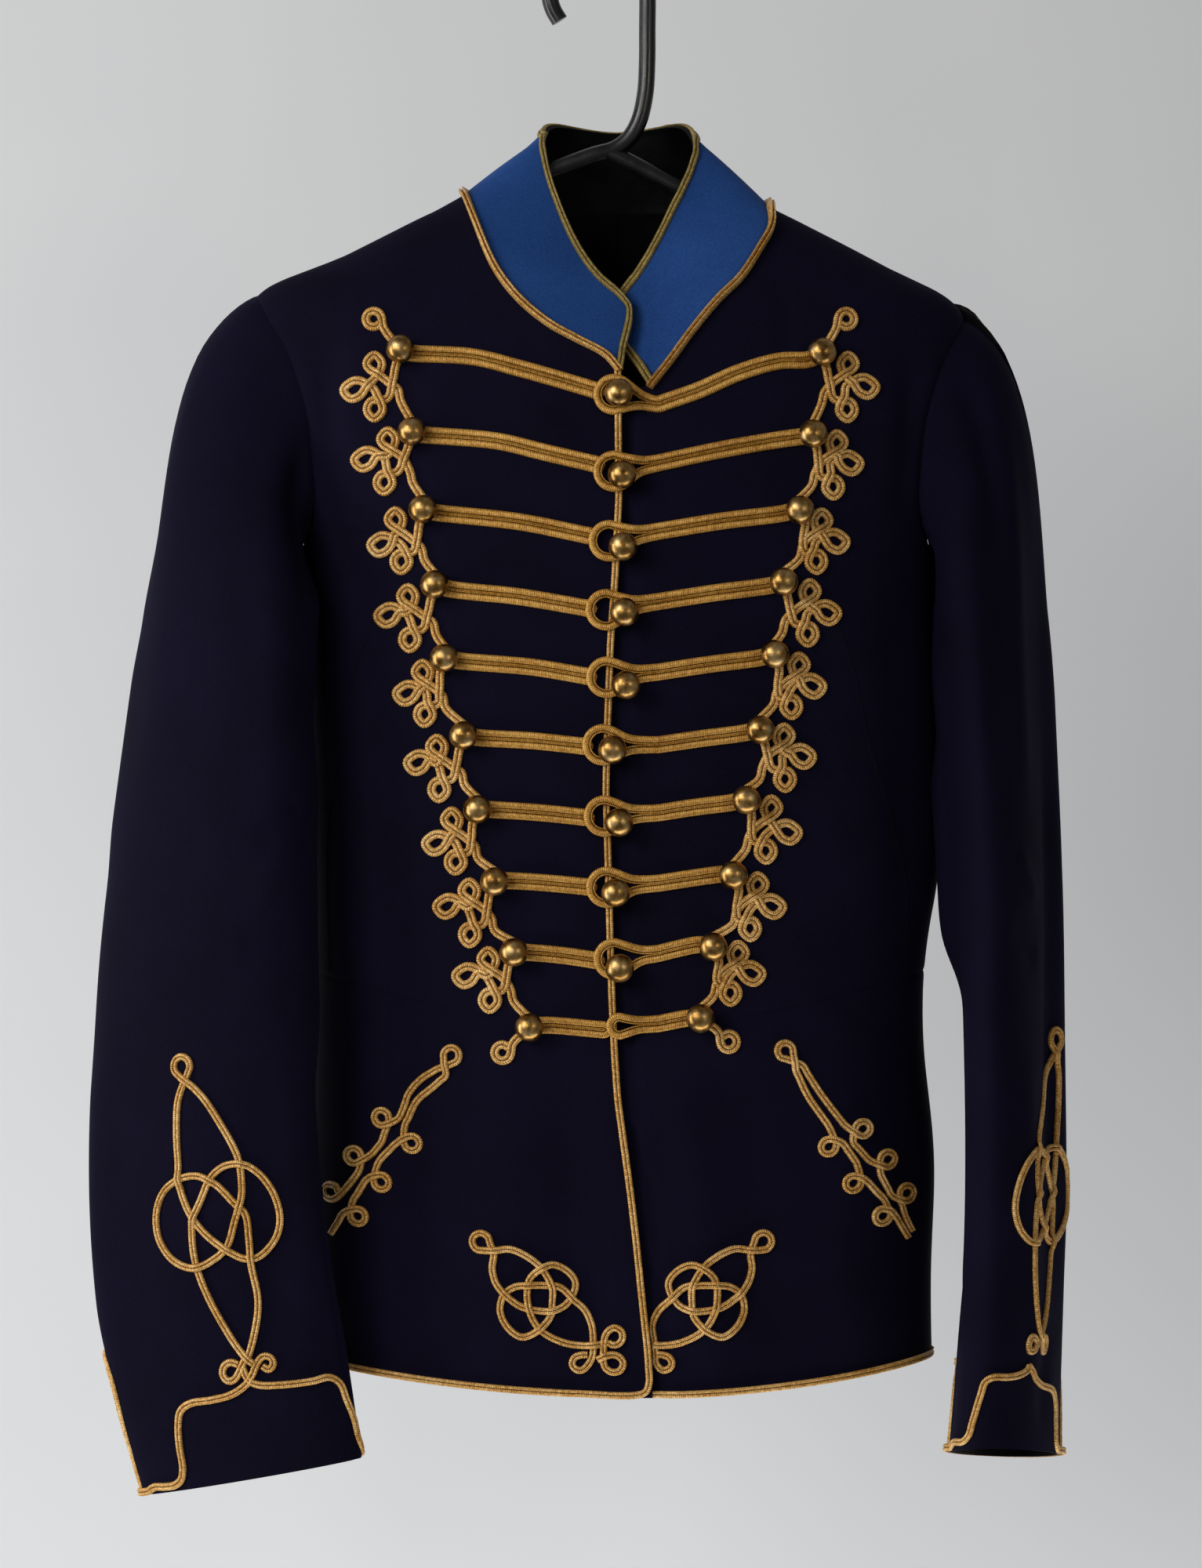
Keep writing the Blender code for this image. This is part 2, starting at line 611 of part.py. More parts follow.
def straighten_outline(bm):
    """Take away the outline's points that hardly move it."""
    for vert in list(bm.verts):
        if len(vert.link_edges) != 2 or len(vert.link_faces) != 1 or len(vert.link_faces[0].verts) < 5:
            continue
        before, after = (edge.other_vert(vert) for edge in vert.link_edges)
        foot, share = intersect_point_line(vert.co, before.co, after.co)
        joined_already = any(edge.other_vert(before) == after for edge in before.link_edges)
        if (vert.co - foot).length < STRAIGHT and not joined_already:
            bmesh.utils.vert_dissolve(vert)


def laid(name, shapes, ground, finish, parts, holes=(), fold=FLAT_ANGLE, low=BRAID_GAP,
         rise=BRAID_RISE * MM, lift=None):
    """A plate of braid: flat shapes in metres, joined into one and laid on the ground's points."""
    bm = plan_mesh(list(shapes), list(holes), ground, fold)
    bm.verts.index_update()
    raised = {}
    for vert in bm.verts:
        spot = (vert.co.x, vert.co.y)
        point, normal = ground.over(spot)
        base = low + (lift(spot) if lift else 0.0)
        raised[vert] = (point, normal, base)
    for vert, (point, normal, base) in raised.items():
        vert.co = point + normal * base
    inside = [vert for vert in bm.verts if not vert.is_boundary]
    bmesh.ops.dissolve_limit(bm, angle_limit=math.radians(FLAT_ANGLE), use_dissolve_boundaries=False,
                             verts=inside, edges=bm.edges)
    straighten_outline(bm)
    bmesh.ops.triangulate(bm, faces=bm.faces)
    bm.verts.index_update()
    outer = {}
    inner = {}
    for vert in bm.verts:
        point, normal, base = raised[vert]
        outer[vert.index] = point + normal * (base + rise)
        inner[vert.index] = point + normal * base
    flat_faces = [tuple(vert.index for vert in face.verts) for face in bm.faces]
    bm.free()
    return solid_between(name, outer, inner, flat_faces, finish, parts)


def ball(name, centre, radius, finish, parts, segments=6, rings=4):
    bm = bmesh.new()
    bmesh.ops.create_uvsphere(bm, u_segments=segments, v_segments=rings, radius=radius)
    bmesh.ops.translate(bm, verts=bm.verts, vec=Vector(centre))
    return mesh_object(name, bm, finish, parts)


def joined(base, other, cutters):
    """The base united with another solid, which then only guides the union."""
    for user in list(other.users_collection):
        user.objects.unlink(other)
    cutters.objects.link(other)
    other.hide_render = True
    other.display_type = "WIRE"
    union = base.modifiers.new("union", "BOOLEAN")
    union.operation = "UNION"
    union.solver = "EXACT"
    union.object = other


def front_flat(points):
    """Braid on the front is drawn in the front view."""
    return points[:, :, (0, 2)]


def bar_line(outer, inner):
    """The bar sags from its side button to the front edge."""
    line = []
    for t in np.linspace(0.0, 1.0, 3):
        line.append((outer[0] + (inner[0] - outer[0]) * t,
                     outer[1] + (inner[1] - outer[1]) * t ** 1.4))
    return line


def metres(line):
    return [((x + CENTRE_X / MM) * MM, z * MM) for x, z in line]


def frog_shapes(side, button, inner, last, next_button):
    """The bar, the trefoil's cord, the link to the next button, and the middles of its loops."""
    shapes = strip(metres(bar_line(button, inner)), BAR_WIDTH * MM)
    if last:
        scroll = (button[0] + side * 14.5, button[1] - 15.0)
        shapes += disc(metres([scroll])[0], TREFOIL_OUTER * MM, RING_SIDES)
        shapes += strip(metres([button, (scroll[0] - side * 5.0, scroll[1] + 4.0)]), CORD_WIDTH * MM)
        return shapes, [scroll]
    place = [(button[0] + side * x, button[1] + z) for x, z in TREFOIL_LOOPS]
    for centre in place:
        shapes += disc(metres([centre])[0], TREFOIL_OUTER * MM, RING_SIDES)
    link = [button] + [(button[0] + side * x, button[1] + z) for x, z in LINK]
    heart = (button[0] + side * TREFOIL_HEART[0], button[1] + TREFOIL_HEART[1])
    tips = [(centre, TREFOIL_OUTER - 2.0) for centre in place] + [(link[1], 0.0)]
    shapes.append(metres(star(heart, tips)))
    end = unit(np.array(next_button) - np.array(link[-1]))
    stop = np.array(next_button) - end * LINK_STOP
    shapes += strip(metres(link + [tuple(stop)]), CORD_WIDTH * MM)
    return shapes, place


def star(heart, tips):
    """Where the cords of a trefoil cross: one outline with an arm to each tip, short of it."""
    heart = np.array(heart)
    arms = []
    for tip, short in tips:
        away = np.array(tip) - heart
        arms.append((math.atan2(away[1], away[0]), float(np.linalg.norm(away)) - short))
    arms.sort()
    corners = []
    for number, (angle, reach) in enumerate(arms):
        along = np.array((math.cos(angle), math.sin(angle)))
        across = np.array((-along[1], along[0])) * CORD_WIDTH * 0.6
        corners += [heart + along * reach - across, heart + along * reach + across]
        following = arms[(number + 1) % len(arms)][0]
        between = angle + ((following - angle) % (2.0 * math.pi)) / 2.0
        corners.append(heart + np.array((math.cos(between), math.sin(between))) * CORD_WIDTH * 1.1)
    return corners


def frogs(grounds, finish, parts, cutters):
    rows = named_rows(FROG_COLUMNS, FROGS)
    for number, row in enumerate(rows, start=1):
        following = rows[number] if number < len(rows) else row
        last = number == len(rows)
        for side, word in ((-1.0, "left"), (1.0, "right")):
            button = (row[word + "_x"], row[word + "_z"])
            next_button = (following[word + "_x"], following[word + "_z"])
            edge = front_edge_x(row["ball_z"])
            inner_x = edge - 12.5 if side < 0 else edge + 18.0
            inner = (inner_x, row[word + "_in"])
            shapes, loops = frog_shapes(side, button, inner, last, next_button)
            if number == 1:
                scroll = (button[0] + side * 15.0, button[1] + 19.0)
                shapes += disc(metres([scroll])[0], TREFOIL_OUTER * MM, RING_SIDES)
                foot = (scroll[0] - side * 4.0, scroll[1] - 5.0)
                shapes += strip(metres([button, foot]), CORD_WIDTH * MM)
                loops.append(scroll)
            holes = eyes(metres(loops), TREFOIL_EYE * MM)
            lift = None
            if side > 0:
                centre = (row["ball_x"], row["ball_z"])
                shapes += loop_shapes(centre, inner)
                holes += disc(metres([centre])[0], LOOP_EYE * MM, LOOP_EYE_SIDES)
                lift = loop_lift(edge)
            frog = laid(f"frog_{word}_{number:02d}", shapes, grounds[side], finish, parts,
                        holes=holes, fold=FROG_FOLD, low=FROG_GAP, lift=lift)
            point, normal = grounds[side].over(metres([button])[0])
            height = (BRAID_RISE + BALL_ON_BAR) * MM + FROG_GAP
            head = ball(f"side_ball_{word}_{number:02d}", point + normal * height,
                        BALL_RADIUS * MM, finish, parts)
            joined(frog, head, cutters)


def loop_shapes(centre, inner):
    """The bar's two cords part and pass round the centre button."""
    shapes = disc(metres([centre])[0], LOOP_OUTER * MM, LOOP_SIDES)
    toward = unit(np.array(inner) - np.array(centre))
    shapes += strip(metres([tuple(np.array(centre) + toward * LOOP_START), inner]), BAR_WIDTH * MM)
    return shapes


def loop_lift(edge):
    """The loop lies above the edge braid of the upper front and comes down beyond it."""
    def lift(spot):
        past = spot[0] / MM - CENTRE_X / MM - edge
        return LOOP_LIFT * MM * float(np.clip((15.0 - past) / 9.0, 0.0, 1.0))
    return lift


def centre_balls(ground, finish, parts):
    rows = named_rows(FROG_COLUMNS, FROGS)
    for number, row in enumerate(rows[:-1], start=1):
        point, normal = ground.over(metres([(row["ball_x"], row["ball_z"])])[0])
        height = (LOOP_LIFT + BRAID_RISE + BALL_ON_LOOP) * MM + FROG_GAP
        ball(f"centre_button_{number}", point + normal * height, BALL_RADIUS * MM, finish, parts)


def ring_of(row, side, around):
    """One ring of a sleeve: angle 0 is its outer line, 90 its front, 180 its inner line."""
    outward = np.array((side, 0.0, 0.0))
    forward = np.array((0.0, -1.0, 0.0))
    turn = math.radians(row["turn"])
    long_axis = math.cos(turn) * outward - math.sin(turn) * forward
    short_axis = math.sin(turn) * outward + math.cos(turn) * forward
    centre = np.array((row["x"] + CENTRE_X / MM, row["y"], row["z"]))
    points = []
    for step in range(around):
        angle = 2.0 * math.pi * step / around + turn
        offset = (row["long"] * math.cos(angle) * long_axis
                  + row["short"] * math.sin(angle) * short_axis)
        rise = -row["tip"] * offset.dot(outward) + row["lean"] * offset[1]
        points.append((centre + offset + np.array((0.0, 0.0, rise))) * MM)
    return np.array(points)


def armhole_loop(front, back):
    """Shared armhole points and normals: the shoulder, down the front, up the back."""
    points = [front[0][r, -1] for r in range(ARMHOLE_ROWS + 1)]
    normals = [front[1][r, -1] for r in range(ARMHOLE_ROWS + 1)]
    for r in range(ARMHOLE_ROWS - 1, 0, -1):
        points.append(back[0][r, -1])
        normals.append(back[1][r, -1])
    return np.array(points), np.array(normals)


def sleeve_grid(rows, side, front, back):
    loop, loop_normals = armhole_loop(front, back)
    around = len(loop)
    rings = [ring_of(row, side, around) for row in rows]
    first, second = rings[0], rings[1]
    middle = loop.mean(axis=0)
    grid = [loop]
    for step in range(1, CAP_ROWS + 1):
        t = step / CAP_ROWS
        line = []
        for c in range(around):
            before, after = loop[c - 1], loop[(c + 1) % around]
            share = 1.0 - abs(1.0 - 2.0 * c / around)
            normal = loop_normals[c]
            outside = unit(np.cross(unit(after - before), normal))
            if outside.dot(loop[c] - middle) > 0:
                outside = -outside
            leave = unit((1.0 - share) * outside + (0.15 + 0.85 * share) * normal
                         + np.array((0.0, 0.0, -0.2 - 0.5 * share)))
            if share < 0.5:
                slope = unit(np.array((side * 0.93, 0.0, -0.37)))
                leave = unit((0.5 - share) * 2.0 * slope + share * 2.0 * leave)
            reach = np.linalg.norm(first[c] - loop[c])
            start = leave * reach * 0.9
            end = unit(second[c] - first[c]) * reach * 0.9
            h1 = 2 * t ** 3 - 3 * t ** 2 + 1
            h2 = t ** 3 - 2 * t ** 2 + t
            h3 = -2 * t ** 3 + 3 * t ** 2
            h4 = t ** 3 - t ** 2
            line.append(h1 * loop[c] + h2 * start + h3 * first[c] + h4 * end)
        grid.append(np.array(line))
    grid.extend(rings[1:])
    points = np.array(grid)
    points = np.concatenate((points, points[:, :1]), axis=1)
    normals = np.zeros_like(points)
    last = points.shape[1] - 1
    for r in range(points.shape[0]):
        for c in range(points.shape[1]):
            down = points[min(r + 1, points.shape[0] - 1), c] - points[max(r - 1, 0), c]
            west = points[r, last - 1] if c == 0 else points[r, c - 1]
            east = points[r, 1] if c == last else points[r, c + 1]
            normal = unit(np.cross(east - west, down))
            centre = points[r, :last].mean(axis=0)
            if normal.dot(points[r, c] - centre) < 0:
                normal = -normal
            normals[r, c] = normal
    for c in range(around):
        under = float(np.clip((1.0 - abs(1.0 - 2.0 * c / around) - 0.4) / 0.25, 0.0, 1.0))
        points[0, c] += loop_normals[c] * under * UNDERARM_CLEARANCE
        normals[0, c] = unit((1.0 - under) * loop_normals[c] + under * normals[0, c])
    points[0, last] = points[0, 0]
    normals[0, last] = normals[0, 0]
    return points, normals


def sleeve_flat(points, side, face_column):
    """Flat places on a sleeve: round it from the middle of its face, and its rings' heights."""
    flat = np.zeros(points.shape[:2] + (2,))
    for r in range(points.shape[0]):
        lengths = np.linalg.norm(np.diff(points[r], axis=0), axis=1)
        around = np.concatenate(([0.0], np.cumsum(lengths)))
        start = np.interp(face_column, range(len(around)), around)
        flat[r, :, 0] = (around - start) * -side
        flat[r, :, 1] = points[r, :-1, 2].mean()
    return flat


def rolled(points, columns):
    """A closed sleeve grid opened along another column, for a piece that crosses its start."""
    last = points.shape[1] - 1
    order = [column % last for column in columns]
    return points[:, order]


def sleeve(word, rows, side, front, back, finish, parts):
    points, normals = sleeve_grid(named_rows(SLEEVE_COLUMNS, rows), side, front, back)
    last = points.shape[1] - 1
    under = list(range(UNDER_SLEEVE_FROM, UNDER_SLEEVE_TO + 1))
    over = list(range(UNDER_SLEEVE_TO, last + UNDER_SLEEVE_FROM + 1))
    for piece, columns in (("top", over), ("under", under)):
        block = rolled(points, columns)
        turned = rolled(normals, columns)
        block = pulled_in(block, (0, block.shape[0] - 1), (0, block.shape[1] - 1), SEAM / 2.0)
        cloth(f"sleeve_{word}_{piece}", block, turned, finish, parts)
    return points, normals


def collar_grid(left, right, back_left, back_right):
    """Rows of the collar from its seam up, round from the image-left end to the other end."""
    tops_left = spread(COLLAR_TOP_LEFT, NECK_ROWS)
    tops_right = spread(COLLAR_TOP_RIGHT, NECK_ROWS)
    tops_back = spread(COLLAR_TOP_BACK, NECK_ROWS)
    bottom = [left[0][r, 0] for r in range(NECK_ROWS, -1, -1)]
    seam_normals = [left[1][r, 0] for r in range(NECK_ROWS, -1, -1)]
    top = [tops_left[NECK_ROWS - r] for r in range(NECK_ROWS, -1, -1)]
    for r in range(1, NECK_ROWS + 1):
        bottom.append(back_left[0][r, 0])
        seam_normals.append(back_left[1][r, 0])
        top.append(tops_back[r] * (-1.0, 1.0, 1.0))
    for r in range(NECK_ROWS - 1, 0, -1):
        bottom.append(back_right[0][r, 0])
        seam_normals.append(back_right[1][r, 0])
        top.append(tops_back[r])
    for r in range(NECK_ROWS + 1):
        bottom.append(right[0][r, 0])
        seam_normals.append(right[1][r, 0])
        top.append(tops_right[NECK_ROWS - r])
    bottom = np.array(bottom)
    top = np.array(top) * MM + np.array((CENTRE_X, 0.0, 0.0))
    points = np.zeros((COLLAR_ROWS + 1, len(bottom), 3))
    for c in range(len(bottom)):
        rise = unit(top[c] - bottom[c])
        start = bottom[c] + rise * COLLAR_SEAM * MM
        for r in range(COLLAR_ROWS + 1):
            points[r, c] = start + (top[c] - start) * r / COLLAR_ROWS
    normals = np.zeros_like(points)
    centre = points.mean(axis=(0, 1))
    for r in range(points.shape[0]):
        for c in range(points.shape[1]):
            west = points[r, max(c - 1, 0)]
            east = points[r, min(c + 1, points.shape[1] - 1)]
            normal = unit(np.cross(east - west, top[c] - bottom[c]))
            if normal.dot(points[r, c] - centre) < 0:
                normal = -normal
            normals[r, c] = normal
    for c in range(points.shape[1]):
        normals[0, c] = unit(seam_normals[c] + normals[0, c])
    return points, normals


def collar_flat(points):
    flat = np.zeros(points.shape[:2] + (2,))
    middle = points.mean(axis=0)
    around = np.concatenate(([0.0], np.cumsum(np.linalg.norm(np.diff(middle, axis=0), axis=1))))
    for r in range(points.shape[0]):
        height = np.linalg.norm(points[r] - points[0], axis=1)
        flat[r, :, 0] = around
        flat[r, :, 1] = height
    return flat


def collar(grids, finish, trim, edge_trim, parts):
    points, normals = collar_grid(*grids)
    cloth("collar", points, normals, finish, parts)
    flat = collar_flat(points)
    ground = Ground(points, normals, flat)
    last = points.shape[1] - 1
    inset = (CORD_WIDTH / 2.0 - COLLAR_OVERHANG) * MM
    foot = inset + (CORD_WIDTH + 1.0) * MM
    top = [(flat[-1, c, 0], flat[-1, c, 1] - inset) for c in range(last + 1)]
    path = [(top[0][0] + inset, foot), (top[0][0] + inset, top[0][1])]
    path += top[1:-1]
    path += [(top[-1][0] - inset, top[-1][1]), (top[-1][0] - inset, foot)]
    laid("collar_edge_braid", strip(path, CORD_WIDTH * MM), ground, edge_trim, parts, fold=TRIM_FOLD)
    seam = [(flat[0, c, 0], CORD_WIDTH / 2.0 * MM) for c in range(last + 1)]
    laid("collar_seam_braid", strip(seam, CORD_WIDTH * MM), ground, trim, parts, fold=TRIM_FOLD)


def hem_line(points, rise):
    """The flat line of a hem, a little above the cloth's edge."""
    return [(point[0], point[2] + rise) for point in points[-1]]


def edge_braids(left, left_ground, right_ground, right, back, trim, parts):
    inset = (EDGE_WIDTH / 2.0 - EDGE_OVERHANG) * MM
    down = []
    for z in np.linspace(NECKLINE_LEFT[-1][1], HEM_CENTRE_Z + 9.0, 14):
        down.append((CENTRE_X + front_edge_x(z) * MM - inset, z * MM))
    hem = hem_line(left[0], inset)
    hem[-1] = (hem[-1][0] + SIDE_STOP, hem[-1][1])
    corner = (down[-1][0] - 4.0 * MM, hem[0][1] + 1.0 * MM)
    path = down + [corner] + [spot for spot in hem if spot[0] < corner[0] - 8.0 * MM]
    laid("front_edge_braid", strip(path, EDGE_WIDTH * MM), left_ground, trim, parts,
         fold=EDGE_FOLD, rise=EDGE_RISE * MM)
    start = CENTRE_X + (front_edge_x(HEM_CENTRE_Z) + 2.0) * MM
    hem = [spot for spot in hem_line(right[0], inset) if spot[0] > start]
    hem[-1] = (hem[-1][0] - SIDE_STOP, hem[-1][1])
    laid("hem_braid_right", strip([(start, hem[0][1])] + hem[1:], EDGE_WIDTH * MM), right_ground,
         trim, parts, fold=EDGE_FOLD, rise=EDGE_RISE * MM)
    flat = np.zeros(back[0].shape[:2] + (2,))
    for r in range(flat.shape[0]):
        lengths = np.linalg.norm(np.diff(back[0][r], axis=0), axis=1)
        flat[r, :, 0] = np.concatenate(([0.0], np.cumsum(lengths)))
        flat[r, :, 1] = back[0][r, :, 2]
    line = [(flat[-1, c, 0], flat[-1, c, 1] + inset) for c in range(flat.shape[1])]
    line[0] = (line[0][0] + BACK_STOP, line[0][1])
    line[-1] = (line[-1][0] - BACK_STOP, line[-1][1])
    laid("hem_braid_back", strip(line, EDGE_WIDTH * MM), Ground(back[0], back[1], flat), trim, parts,
         rise=EDGE_RISE * MM)


def mirrored(line, side):
    return [(-x * side, z) for x, z in line]


def hem_places(line, side, least):
    """The knot of the under front lies further out and clear of the upper front's edge."""
    if side < 0:
        return list(line)
    return [(max(HEM_KNOT_SHIFT - x, front_edge_x(z) + least), z) for x, z in line]


def skirt_ornaments(grounds, trim, parts):
    for side, word in ((-1.0, "left"), (1.0, "right")):
        ground = grounds[side]
        shapes = []
        for strand in (POCKET_LEFT_INNER, POCKET_LEFT_OUTER):
            line = thinned(mirrored(strand, side), CORD_TOLERANCE)
            shapes += strip(metres(line), POCKET_CORD * MM)
        top = metres(mirrored([POCKET_TOP_LEFT], side))
        shapes += disc(top[0], POCKET_DISC * MM, RING_SIDES)
        for spot in metres(mirrored(POCKET_DISCS_LEFT, side)):
            shapes += disc(spot, POCKET_DISC * MM, RING_SIDES)
        laid(f"pocket_braid_{word}", shapes, ground, trim, parts, holes=eyes(top, POCKET_EYE * MM))
        shapes = []
        for strand in (HEM_STRAND_A, HEM_STRAND_B):
            line = thinned(hem_places(strand, side, HEM_CORD_CLEAR), CORD_TOLERANCE)
            shapes += strip(metres(line), HEM_CORD * MM)
        discs = HEM_DISCS if side < 0 else HEM_DISCS[:2]
        for spot in metres(hem_places(discs, side, HEM_DISC_CLEAR)):
            shapes += disc(spot, POCKET_DISC * MM, RING_SIDES)
        laid(f"hem_knot_{word}", shapes, ground, trim, parts)


def cuff_spots(line, knot):
    slant = math.radians(knot["slant"])
    spots = []
    for across, down in line:
        x = knot["around"] + across * math.cos(slant) + down * math.sin(slant)
        y = -knot["down"] + across * math.sin(slant) - down * math.cos(slant)
        spots.append((x * MM, y * MM))
    return spots


def cuff_trim(word, side, grid, knot, trim, parts):
    points, normals = grid
    last = points.shape[1] - 1
    face_column = knot["column"]
    start = int(face_column) + last // 2
    columns = list(range(start, start + last + 1))
    block = rolled(points, columns)
    turned = rolled(normals, columns)
    flat = sleeve_flat(block, side, face_column + last - start)
    ground = Ground(block, turned, flat)
    strand = thinned(CUFF_STRAND, CORD_TOLERANCE)
    other = [(-x, y) for x, y in strand]
    shapes = strip(cuff_spots(strand, knot), CUFF_CORD * MM)
    shapes += strip(cuff_spots(other, knot), CUFF_CORD * MM)
    for spot in cuff_spots(CUFF_DISCS, knot):
        shapes += disc(spot, POCKET_DISC * MM, RING_SIDES)
    laid(f"cuff_knot_{word}", shapes, ground, trim, parts, fold=TRIM_FOLD)
    low = flat[-1, :, 1].mean()
    centre = cuff_spots([(0.0, CUFF_KNOT_FOOT)], knot)[0][0]
    path = [(flat[-1, :, 0].min(), low + CUFF_BRAID[0][1] * MM)]
    path += [(centre - away * MM, low + up * MM) for away, up in CUFF_BRAID]
    path += [(centre + away * MM, low + up * MM) for away, up in reversed(CUFF_BRAID[:-1])]
    path += [(flat[-1, :, 0].max(), low + CUFF_BRAID[0][1] * MM)]
    laid(f"cuff_braid_{word}", strip(path, CUFF_CORD * MM), ground, trim, parts)


def tube(name, line, radius, finish, parts):
    """A round bar through the given points, as a closed mesh."""
    curve = bpy.data.curves.new(name, "CURVE")
    curve.dimensions = "3D"
    curve.bevel_depth = radius
    curve.bevel_resolution = 1
    curve.use_fill_caps = True
    spline = curve.splines.new("POLY")
    spline.points.add(len(line) - 1)
    for spot, point in zip(spline.points, line):
        spot.co = (point[0], point[1], point[2], 1.0)
    holder = bpy.data.objects.new(name + "_curve", curve)
    parts.objects.link(holder)
    bpy.context.view_layer.update()
    depsgraph = bpy.context.evaluated_depsgraph_get()
    mesh = bpy.data.meshes.new_from_object(holder.evaluated_get(depsgraph))
    bm = bmesh.new()
    bm.from_mesh(mesh)
    bpy.data.objects.remove(holder, do_unlink=True)
    return mesh_object(name, bm, finish, parts)


def hanger(finish, parts, cutters):
    """A moulded hanger: the hook over the rail, and two arms under the shoulder seams."""
    hook = []
    for i in range(HOOK_TURNS + 1):
        angle = math.radians(HOOK_OPENING + HOOK_SWEEP * i / HOOK_TURNS)
        hook.append((-HOOK_CROWN * math.cos(angle), HOOK_CROWN * math.sin(angle)))
    centre_z = -(HOOK_CROWN - HOOK_RADIUS)
    line = [(x * MM, 0.0, (z + centre_z) * MM) for x, z in hook]
    line.append((HOOK_CROWN * MM, 0.0, STEM_BEND_Z * MM))
    line.append(((HOOK_CROWN - 2.0) * MM, 0.0, STEM_BOTTOM_Z * MM))
    line.append(((ARM_APEX[0] + 8.0) * MM, 0.0, (ARM_APEX[1] + 5.0) * MM))
    line.append((ARM_APEX[0] * MM, 0.0, ARM_APEX[1] * MM))
    stem = tube("hanger", line, HOOK_RADIUS * MM, finish, parts)
    below = CLOTH + (ARM_CLEARANCE + HOOK_RADIUS) * MM
    arm = []
    for side in (-1.0, 1.0):
        run = []
        for z in np.linspace(*ARM_ENDS_Z, 4):
            point, normal = body_point(side * 90.0, z)
            run.append(point - normal * below)
        if side < 0:
            run.reverse()
            arm += run + [np.array((ARM_APEX[0] * MM, 0.0, ARM_APEX[1] * MM))]
        else:
            arm += run
    cross = tube("hanger_arms_guide", arm, HOOK_RADIUS * MM, finish, parts)
    joined(stem, cross, cutters)


def build():
    clear_scene()
    parts = collection("hussar_jacket")
    cutters = collection("cutters")
    wool = material("blue black wool", BLUE_BLACK_WOOL, 0.9, 0.0)
    collar_wool = material("royal blue wool", ROYAL_BLUE_WOOL, 0.9, 0.0)
    gold = material("gold braid", GOLD_BRAID, 0.5, 0.3)
    edge_gold = material("edge braid", EDGE_BRAID, 0.6, 0.2)
    brass = material("brass", BRASS, 0.3, 1.0)
    plastic = material("black plastic", BLACK_PLASTIC, 0.25, 0.0)

    left = quarter(-1.0, 1.0, NECKLINE_LEFT, ARMHOLE_FRONT, front_edge_x)
    right = quarter(1.0, 1.0, NECKLINE_RIGHT, ARMHOLE_FRONT, lambda z: front_edge_x(z) + LAP_RAMP)
    back_left = quarter(-1.0, -1.0, NECKLINE_BACK, ARMHOLE_BACK, centre_back(-1.0))
    back_right = quarter(1.0, -1.0, NECKLINE_BACK, ARMHOLE_BACK, centre_back(1.0))
    waist = ARMHOLE_ROWS + SIDE_ROWS
    hem = waist + SKIRT_ROWS
    across = BODY_COLUMNS_ACROSS
    half = SEAM / 2.0

    for word, grid in (("right", left), ("back_left", back_left), ("back_right", back_right)):
        name = "front_" + word if word == "right" else word
        block = pulled_in(grid[0], (0, waist), (0, across), half)
        cloth(name, block, grid[1][:waist + 1], wool, parts)
    block = pulled_in(left[0], (waist, hem), (0, across), half)
    cloth("skirt_front_right", block, left[1][waist:], wool, parts)

    wide_points, wide_normals = with_underlap(*right)
    under_points = wide_points.copy()
    under_points[:, :2] -= wide_normals[:, :2] * (CLOTH + LAP_CLEARANCE)
    skipped = {(r, c) for r in range(NECK_ROWS) for c in (0, 1)}
    block = pulled_in(under_points, (0, waist), (0, across + 2), half)
    cloth("front_left", block, wide_normals[:waist + 1], wool, parts, skipped)
    block = pulled_in(under_points, (waist, hem), (0, across + 2), half)
    cloth("skirt_front_left", block, wide_normals[waist:], wool, parts)

    skirt_points = np.concatenate((back_left[0][waist:, ::-1], back_right[0][waist:, 1:]), axis=1)
    skirt_normals = np.concatenate((back_left[1][waist:, ::-1], back_right[1][waist:, 1:]), axis=1)
    block = pulled_in(skirt_points, (0, SKIRT_ROWS), (0, 2 * across), half)
    cloth("skirt_back", block, skirt_normals, wool, parts)

    sleeve_left = sleeve("left", SLEEVE_LEFT, -1.0, left, back_left, wool, parts)
    sleeve_right = sleeve("right", SLEEVE_RIGHT, 1.0, right, back_right, wool, parts)
    collar((left, right, back_left, back_right), collar_wool, gold, edge_gold, parts)

    grounds = {
        -1.0: Ground(left[0], left[1], front_flat(left[0])),
        1.0: Ground(wide_points, wide_normals, front_flat(wide_points), skipped),
    }
    frogs(grounds, gold, parts, cutters)
    centre_balls(grounds[-1.0], brass, parts)
    edge_braids(left, grounds[-1.0], grounds[1.0], (wide_points, wide_normals),
                (skirt_points, skirt_normals), gold, parts)
    skirt_ornaments(grounds, gold, parts)
    cuff_trim("left", -1.0, sleeve_left, CUFF_KNOT_LEFT, gold, parts)
    cuff_trim("right", 1.0, sleeve_right, CUFF_KNOT_RIGHT, gold, parts)
    hanger(plastic, parts, cutters)


build()
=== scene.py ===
"""A hussar jacket hanging closed on a plastic hanger, as it looks, on the CAD frame.

Lengths in the tables are millimetres from the centre front line, with z down from the rail.
Meshes are in metres. "Left" and "right" in the names of sleeves, frogs and knots are image sides.
"""

import math

import bpy
import numpy as np
from mathutils import Matrix, Vector
from mathutils.bvhtree import BVHTree


